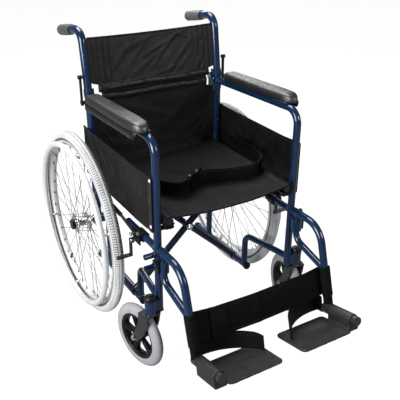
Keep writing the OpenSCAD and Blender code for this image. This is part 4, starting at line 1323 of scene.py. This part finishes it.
def fittings(side):
    welds = [weld_ring(at, axis, r, seed) for seed, (at, axis, r) in enumerate(WELDS, 1)]
    put(side, "frame_welds", joined(*welds), M_BLUE, "frame", "frame_blue", sharp=60)
    plugs = joined(*[lathe(*plug) for plug in PLUGS])
    put(side, "end_plugs", plugs, M_BLACK, "frame", "black_plastic", "black_fittings")
    put(side, "seat_rail_cradles", cradles(), M_BLACK, "frame", "black_plastic", bevel=0.8)
    # wheel lock bracket: split clamp, side plate, bolts and pins
    ring = lathe([(10.1, 0), (14.4, 0), (14.4, 38), (10.1, 38)], (-FRAME_X, -351, 402), Y, 36, closed=True)
    bracket = joined(ring, block((-241.2, -350, 391), (-233, -314, 413)),
                     block((-219, -348, 385), (-233, -316, 392)),
                     block((-245, -352, 380), (-241, -308, 424)))
    put(side, "lock_bracket", bracket, M_BLACK, "frame", "black_plastic", bevel=1.2)
    bolts = [hex_bolt(at, -X, across, h) for at, across, h in (
        ((-245, -344, 416), 10, 5), ((-245, -316, 386), 10, 5), ((-259.5, -330, 412), 11, 4),
        ((-259.8, -330, 392), 10, 3.4))]
    bolts += [rod((-245, -330, z), (-262, -330, z), 4) for z in (412, 392)]
    bolts.append(button((-238, 2, 694), -X, 3, 1))
    put(side, "lock_bolts", joined(*bolts), M_BRIGHT, "frame", "bright_metal", bevel=0.3)
    # hinge of the folding back: rivets on the ear, collar on the tube
    rivets = [button((-205.6, PIVOT_Y, FOLD_Z), X, 6.5, 2.6), button((-FRAME_X, -12.0, 683), -Y, 3.6, 1.6),
              button((-FRAME_X, -11.8, 560), -Y, 3.4, 1.5)]
    put(side, "hinge_rivets", joined(*rivets), M_BRIGHT, "frame", "bright_metal")
    profile = [(12.0, 0), (13.6, 0.6), (13.8, 3), (13.8, 17), (13.6, 19.6), (12.0, 20.4)]
    put(side, "hinge_collar", lathe(profile, (-FRAME_X, 0, 668), Z, 36), M_BLUE, "frame", "frame_blue")
    nut = lathe([(5.9, 0), (9.8, 0), (10.6, 1.2), (10.6, 5), (9.6, 6.2), (5.9, 6.2)], (-240.2, 0, AXLE_Z),
                -X, 6)
    put(side, "axle_spacer", nut, M_DARKSTEEL, "frame", "bright_metal", bevel=0.4)


for side in SIGN:
    fittings(side)
pivot_bits = [hex_bolt((0, -209.0, 301.5), -Y, 14, 5.5), hex_bolt((0, -151.0, 301.5), Y, 14, 5.5),
              lathe([(5.2, 0), (11, 0), (11, 1.6), (5.2, 1.8)], (0, -207.2, 301.5), -Y, 28)]
build("cross_bolt", joined(*pivot_bits), M_BRIGHT, 1, "cross_a", "bright_metal", bevel=0.4)


# ---------- camera, light and floor ----------
LENS, SENSOR = 57.496, 36.0
CAMERA_AT = (-0.8922, -1.5186, 1.2957)
AZ, EL, ROLL = radians(-31.1586), radians(26.8058), radians(0.3223)
scene = bpy.context.scene
ahead = Vector((-sin(AZ) * cos(EL), cos(AZ) * cos(EL), -sin(EL)))
level_x = ahead.cross(Vector((0, 0, 1))).normalized()
level_y = level_x.cross(ahead)
axes = (level_x * cos(ROLL) + level_y * sin(ROLL), level_y * cos(ROLL) - level_x * sin(ROLL), -ahead,
        CAMERA_AT)
cam = bpy.data.objects.new("camera", bpy.data.cameras.new("camera"))
cam.data.lens, cam.data.sensor_width = LENS, SENSOR
cam.data.clip_start, cam.data.clip_end = 0.05, 60
cam.matrix_world = Matrix([[a[i] for a in axes] for i in range(3)] + [[0, 0, 0, 1]])
scene.collection.objects.link(cam)
scene.camera = cam
scene.view_settings.view_transform = "Standard"


def brightness(tree, socket, around, seen):
    """A white level: one value for the light that falls on things, another for what the camera sees."""
    ray, level = tree.nodes.new("ShaderNodeLightPath"), tree.nodes.new("ShaderNodeMapRange")
    level.inputs["To Min"].default_value, level.inputs["To Max"].default_value = around, seen
    tree.links.new(ray.outputs["Is Camera Ray"], level.inputs["Value"])
    tree.links.new(level.outputs["Result"], socket)


world = bpy.data.worlds.new("studio")
scene.world = world
world.use_nodes = True
sky = world.node_tree.nodes["Background"]
sky.inputs[0].default_value = (1, 1, 1, 1)
brightness(world.node_tree, sky.inputs[1], 0.15, 1.0)


def area(name, at, aim_z, size, watts, tall=None, aim_y=0.0):
    d = bpy.data.lights.new(name, "AREA")
    d.energy, d.size = watts, size
    if tall:
        d.shape, d.size_y = "RECTANGLE", tall
    o = bpy.data.objects.new(name, d)
    o.location = at
    o.rotation_euler = (Vector((0, aim_y, aim_z)) - Vector(at)).to_track_quat("-Z", "Y").to_euler()
    scene.collection.objects.link(o)


area("overhead", (-0.2, 0.9, 2.7), 0.5, 1.4, 82, 1.4, aim_y=0.1)
area("left_fill", (-2.6, -0.6, 1.3), 0.45, 1.5, 120)
area("front_fill", (1.2, -2.3, 1.9), 0.5, 1.0, 40)
area("back_box", (1.35, 2.5, 1.75), 0.6, 1.5, 20, 0.8)

floor = mesh_object("floor",
                    [(-30, -30, -0.0005), (30, -30, -0.0005), (30, 30, -0.0005), (-30, 30, -0.0005)],
                    [(0, 1, 2, 3)])
white = bpy.data.materials.new("floor_white")
white.use_nodes = True
tree = white.node_tree
tree.nodes.clear()
out, both = tree.nodes.new("ShaderNodeOutputMaterial"), tree.nodes.new("ShaderNodeAddShader")
glow, dull = tree.nodes.new("ShaderNodeEmission"), tree.nodes.new("ShaderNodeBsdfDiffuse")
glow.inputs[0].default_value = (1, 1, 1, 1)
dull.inputs[0].default_value = (0.12, 0.12, 0.12, 1)
brightness(tree, glow.inputs[1], 0.20, 0.955)
for i, part in enumerate((glow, dull)):
    tree.links.new(part.outputs[0], both.inputs[i])
tree.links.new(both.outputs[0], out.inputs[0])
floor.data.materials.append(white)
